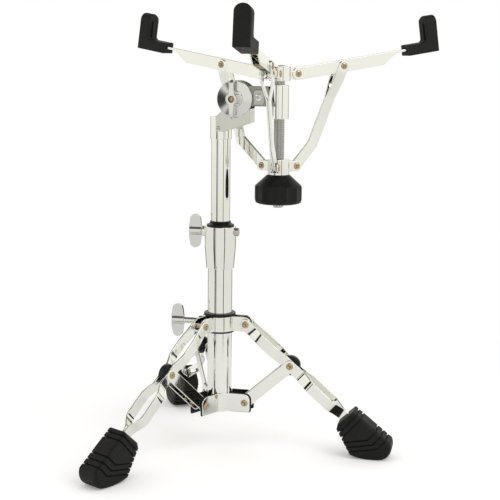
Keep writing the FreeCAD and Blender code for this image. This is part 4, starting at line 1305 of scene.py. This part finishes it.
@dataclass
class Studio:
    """Floor, light and camera. The bands are the tent's dark gaps: bearing, half width and soft edge."""

    azimuth: float = 11.9
    eye: Triple = (34.3, -1354.2, 456.0)
    pitch: float = 9.3
    roll: float = -0.6
    focal: float = 1188.0
    picture: float = 500.0
    sensor: float = 36.0
    bands: tuple[Triple, ...] = ((-45.0, 3.8, 6.3), (-33.5, 0.8, 2.5), (33.0, 1.6, 4.2), (146.0, 4.0, 9.0),
                                 (-146.0, 4.0, 9.0))
    band_foot: Point = (-0.55, -0.40)
    band_head: Point = (0.30, 0.60)
    roof: Triple = (0.52, 0.78, 0.88)
    dusk: Point = (-0.16, -0.02)
    wall_colour: Triple = (1.0, 0.99, 0.945)
    low_colour: Triple = (0.85, 0.845, 0.815)
    gap_colour: Triple = (0.012, 0.010, 0.008)
    soft_colour: Triple = (1.0, 0.995, 0.985)
    soft_strength: float = 0.82
    floor_radius: float = 0.75
    floor_fade: Point = (0.30, 0.95)
    floor_colour: Triple = (0.95, 0.948, 0.94)
    lift_colour: Triple = (1.0, 0.995, 0.98)
    lift: float = 0.19
    key_size: Point = (1.6, 1.2)
    key_power: float = 9.0
    key_place: Triple = (1.1, -0.9, 1.7)
    key_aim: float = 0.2

    def build(self) -> None:
        """Builds the studio."""
        self.camera()
        self.world()
        self.floor()
        self.lamps()

    def turn(self) -> Matrix:
        """The turn from the camera's own frame to the stand's."""
        return Matrix.Rotation(radians(self.azimuth), 4, "Z")

    def camera(self) -> None:
        """Sets the camera at the photograph's angle."""
        lean, tip = radians(self.pitch), radians(self.roll)
        ahead = Vector((0, cos(lean), -sin(lean)))
        right, up = Vector((1, 0, 0)), Vector((0, sin(lean), cos(lean)))
        side = right * cos(tip) - up * sin(tip)
        rise = right * sin(tip) + up * cos(tip)
        data = bpy.data.cameras.new("photo_camera")
        data.lens = self.focal / self.picture * self.sensor
        data.sensor_width, data.sensor_fit = self.sensor, "HORIZONTAL"
        data.clip_start, data.clip_end = 0.05, 50.0
        eye = bpy.data.objects.new("photo_camera", data)
        bpy.context.scene.collection.objects.link(eye)
        basis = Matrix((side, rise, -ahead)).transposed().to_4x4()
        eye.matrix_world = self.turn() @ Matrix.Translation(Vector(self.eye) * MM) @ basis
        bpy.context.scene.camera = eye

    def tent(self, graph: Graph) -> NodeSocket:
        """The colour of the tent: a pale wall with narrow dark gaps and a dark top.

        Args:
            graph: the world's graph.

        Returns:
            The colour's socket.
        """
        way = graph.add("TexCoord").outputs["Generated"]
        height = graph.add("SeparateXYZ", way).outputs[2]
        turn = self.turn().to_3x3()
        sides = [graph.add("VectorMath", way, turn @ Vector(axis), operation="DOT_PRODUCT").outputs["Value"]
                 for axis in ((1, 0, 0), (0, -1, 0))]
        bearing = graph.sum("DEGREES", graph.sum("ARCTAN2", *sides))
        dark: object = 0.0
        for centre, core, edge in self.bands:
            off = graph.sum("ABSOLUTE", graph.sum("SUBTRACT", bearing, centre))
            dark = graph.sum("MAXIMUM", dark, graph.span(off, core, edge, 1.0, 0.0))
        dark = graph.sum("MULTIPLY", dark, graph.span(height, *self.band_foot))
        dark = graph.sum("MULTIPLY", dark, graph.span(height, *self.band_head, 1.0, 0.0))
        low, high, most = self.roof
        dark = graph.sum("MAXIMUM", dark, graph.span(height, low, high, 0.0, most))
        dim = graph.span(height, *self.dusk, 1.0, 0.0)
        wall = graph.mix(dim, (*self.wall_colour, 1.0), (*self.low_colour, 1.0))
        return graph.mix(dark, wall, (*self.gap_colour, 1.0))

    def world(self) -> None:
        """White surround for the camera, soft light for matt faces, the tent for mirrors."""
        scene = bpy.context.scene
        scene.world = bpy.data.worlds.new("light_tent")
        scene.world.use_nodes = True
        graph = Graph(scene.world.node_tree)
        graph.tree.nodes.clear()
        path = graph.add("LightPath").outputs
        soft = graph.add("Background", (*self.soft_colour, 1.0), self.soft_strength).outputs[0]
        mirror = graph.add("Background", self.tent(graph)).outputs[0]
        back = graph.add("Background", (1.0, 1.0, 1.0, 1.0)).outputs[0]
        shine = graph.sum("MAXIMUM", path["Is Glossy Ray"], path["Is Transmission Ray"])
        light = graph.add("MixShader", shine, soft, mirror).outputs[0]
        seen = graph.add("MixShader", path["Is Camera Ray"], light, back).outputs[0]
        graph.add("OutputWorld", seen)

    def floor(self) -> None:
        """A pale round floor that melts into the white surround."""
        bpy.ops.object.select_all(action="DESELECT")
        bpy.ops.mesh.primitive_circle_add(vertices=FINE, radius=self.floor_radius, fill_type="NGON")
        ground = bpy.context.active_object
        ground.name = "studio_floor"
        material = bpy.data.materials.new("pale_floor")
        material.use_nodes = True
        graph = Graph(material.node_tree)
        graph.tree.nodes.clear()
        near, far = self.floor_fade
        spot = graph.add("TexCoord").outputs["Object"]
        length = graph.add("VectorMath", spot, operation="LENGTH").outputs["Value"]
        fade = graph.span(length, near, self.floor_radius * far)
        path = graph.add("LightPath").outputs
        matt = graph.add("BsdfDiffuse", (*self.floor_colour, 1.0)).outputs[0]
        glow = graph.add("Emission").outputs[0]
        clear = graph.add("BsdfTransparent").outputs[0]
        rim = graph.add("MixShader", path["Is Glossy Ray"], glow, clear).outputs[0]
        seen = graph.sum("MAXIMUM", path["Is Camera Ray"], path["Is Glossy Ray"])
        strength = graph.sum("MULTIPLY", path["Is Camera Ray"], self.lift)
        lift = graph.add("Emission", (*self.lift_colour, 1.0), strength).outputs[0]
        both = graph.add("AddShader", matt, lift).outputs[0]
        blend = graph.add("MixShader", graph.sum("MULTIPLY", fade, seen), both, rim).outputs[0]
        graph.add("OutputMaterial", blend)
        ground.data.materials.append(material)

    def lamps(self) -> None:
        """One large soft key from the upper right."""
        data = bpy.data.lights.new("soft_key", "AREA")
        data.shape, data.energy = "RECTANGLE", self.key_power
        data.size, data.size_y = self.key_size
        key = bpy.data.objects.new("soft_key", data)
        bpy.context.scene.collection.objects.link(key)
        spot = self.turn() @ Vector(self.key_place)
        key.matrix_world = axes(spot, spot - Vector((0, 0, self.key_aim)), (1, 0, 0))


def main() -> None:
    """Builds the stand and its studio."""
    logging.basicConfig(level=logging.INFO, format="%(message)s")
    bpy.context.scene.view_settings.view_transform = "Standard"
    Studio().build()
    for part in (Column(), Tripod(), Post(), Tilter(), Basket()):
        part.build()
        LOG.info("%s done", type(part).__name__)


if __name__ == "__main__":
    main()
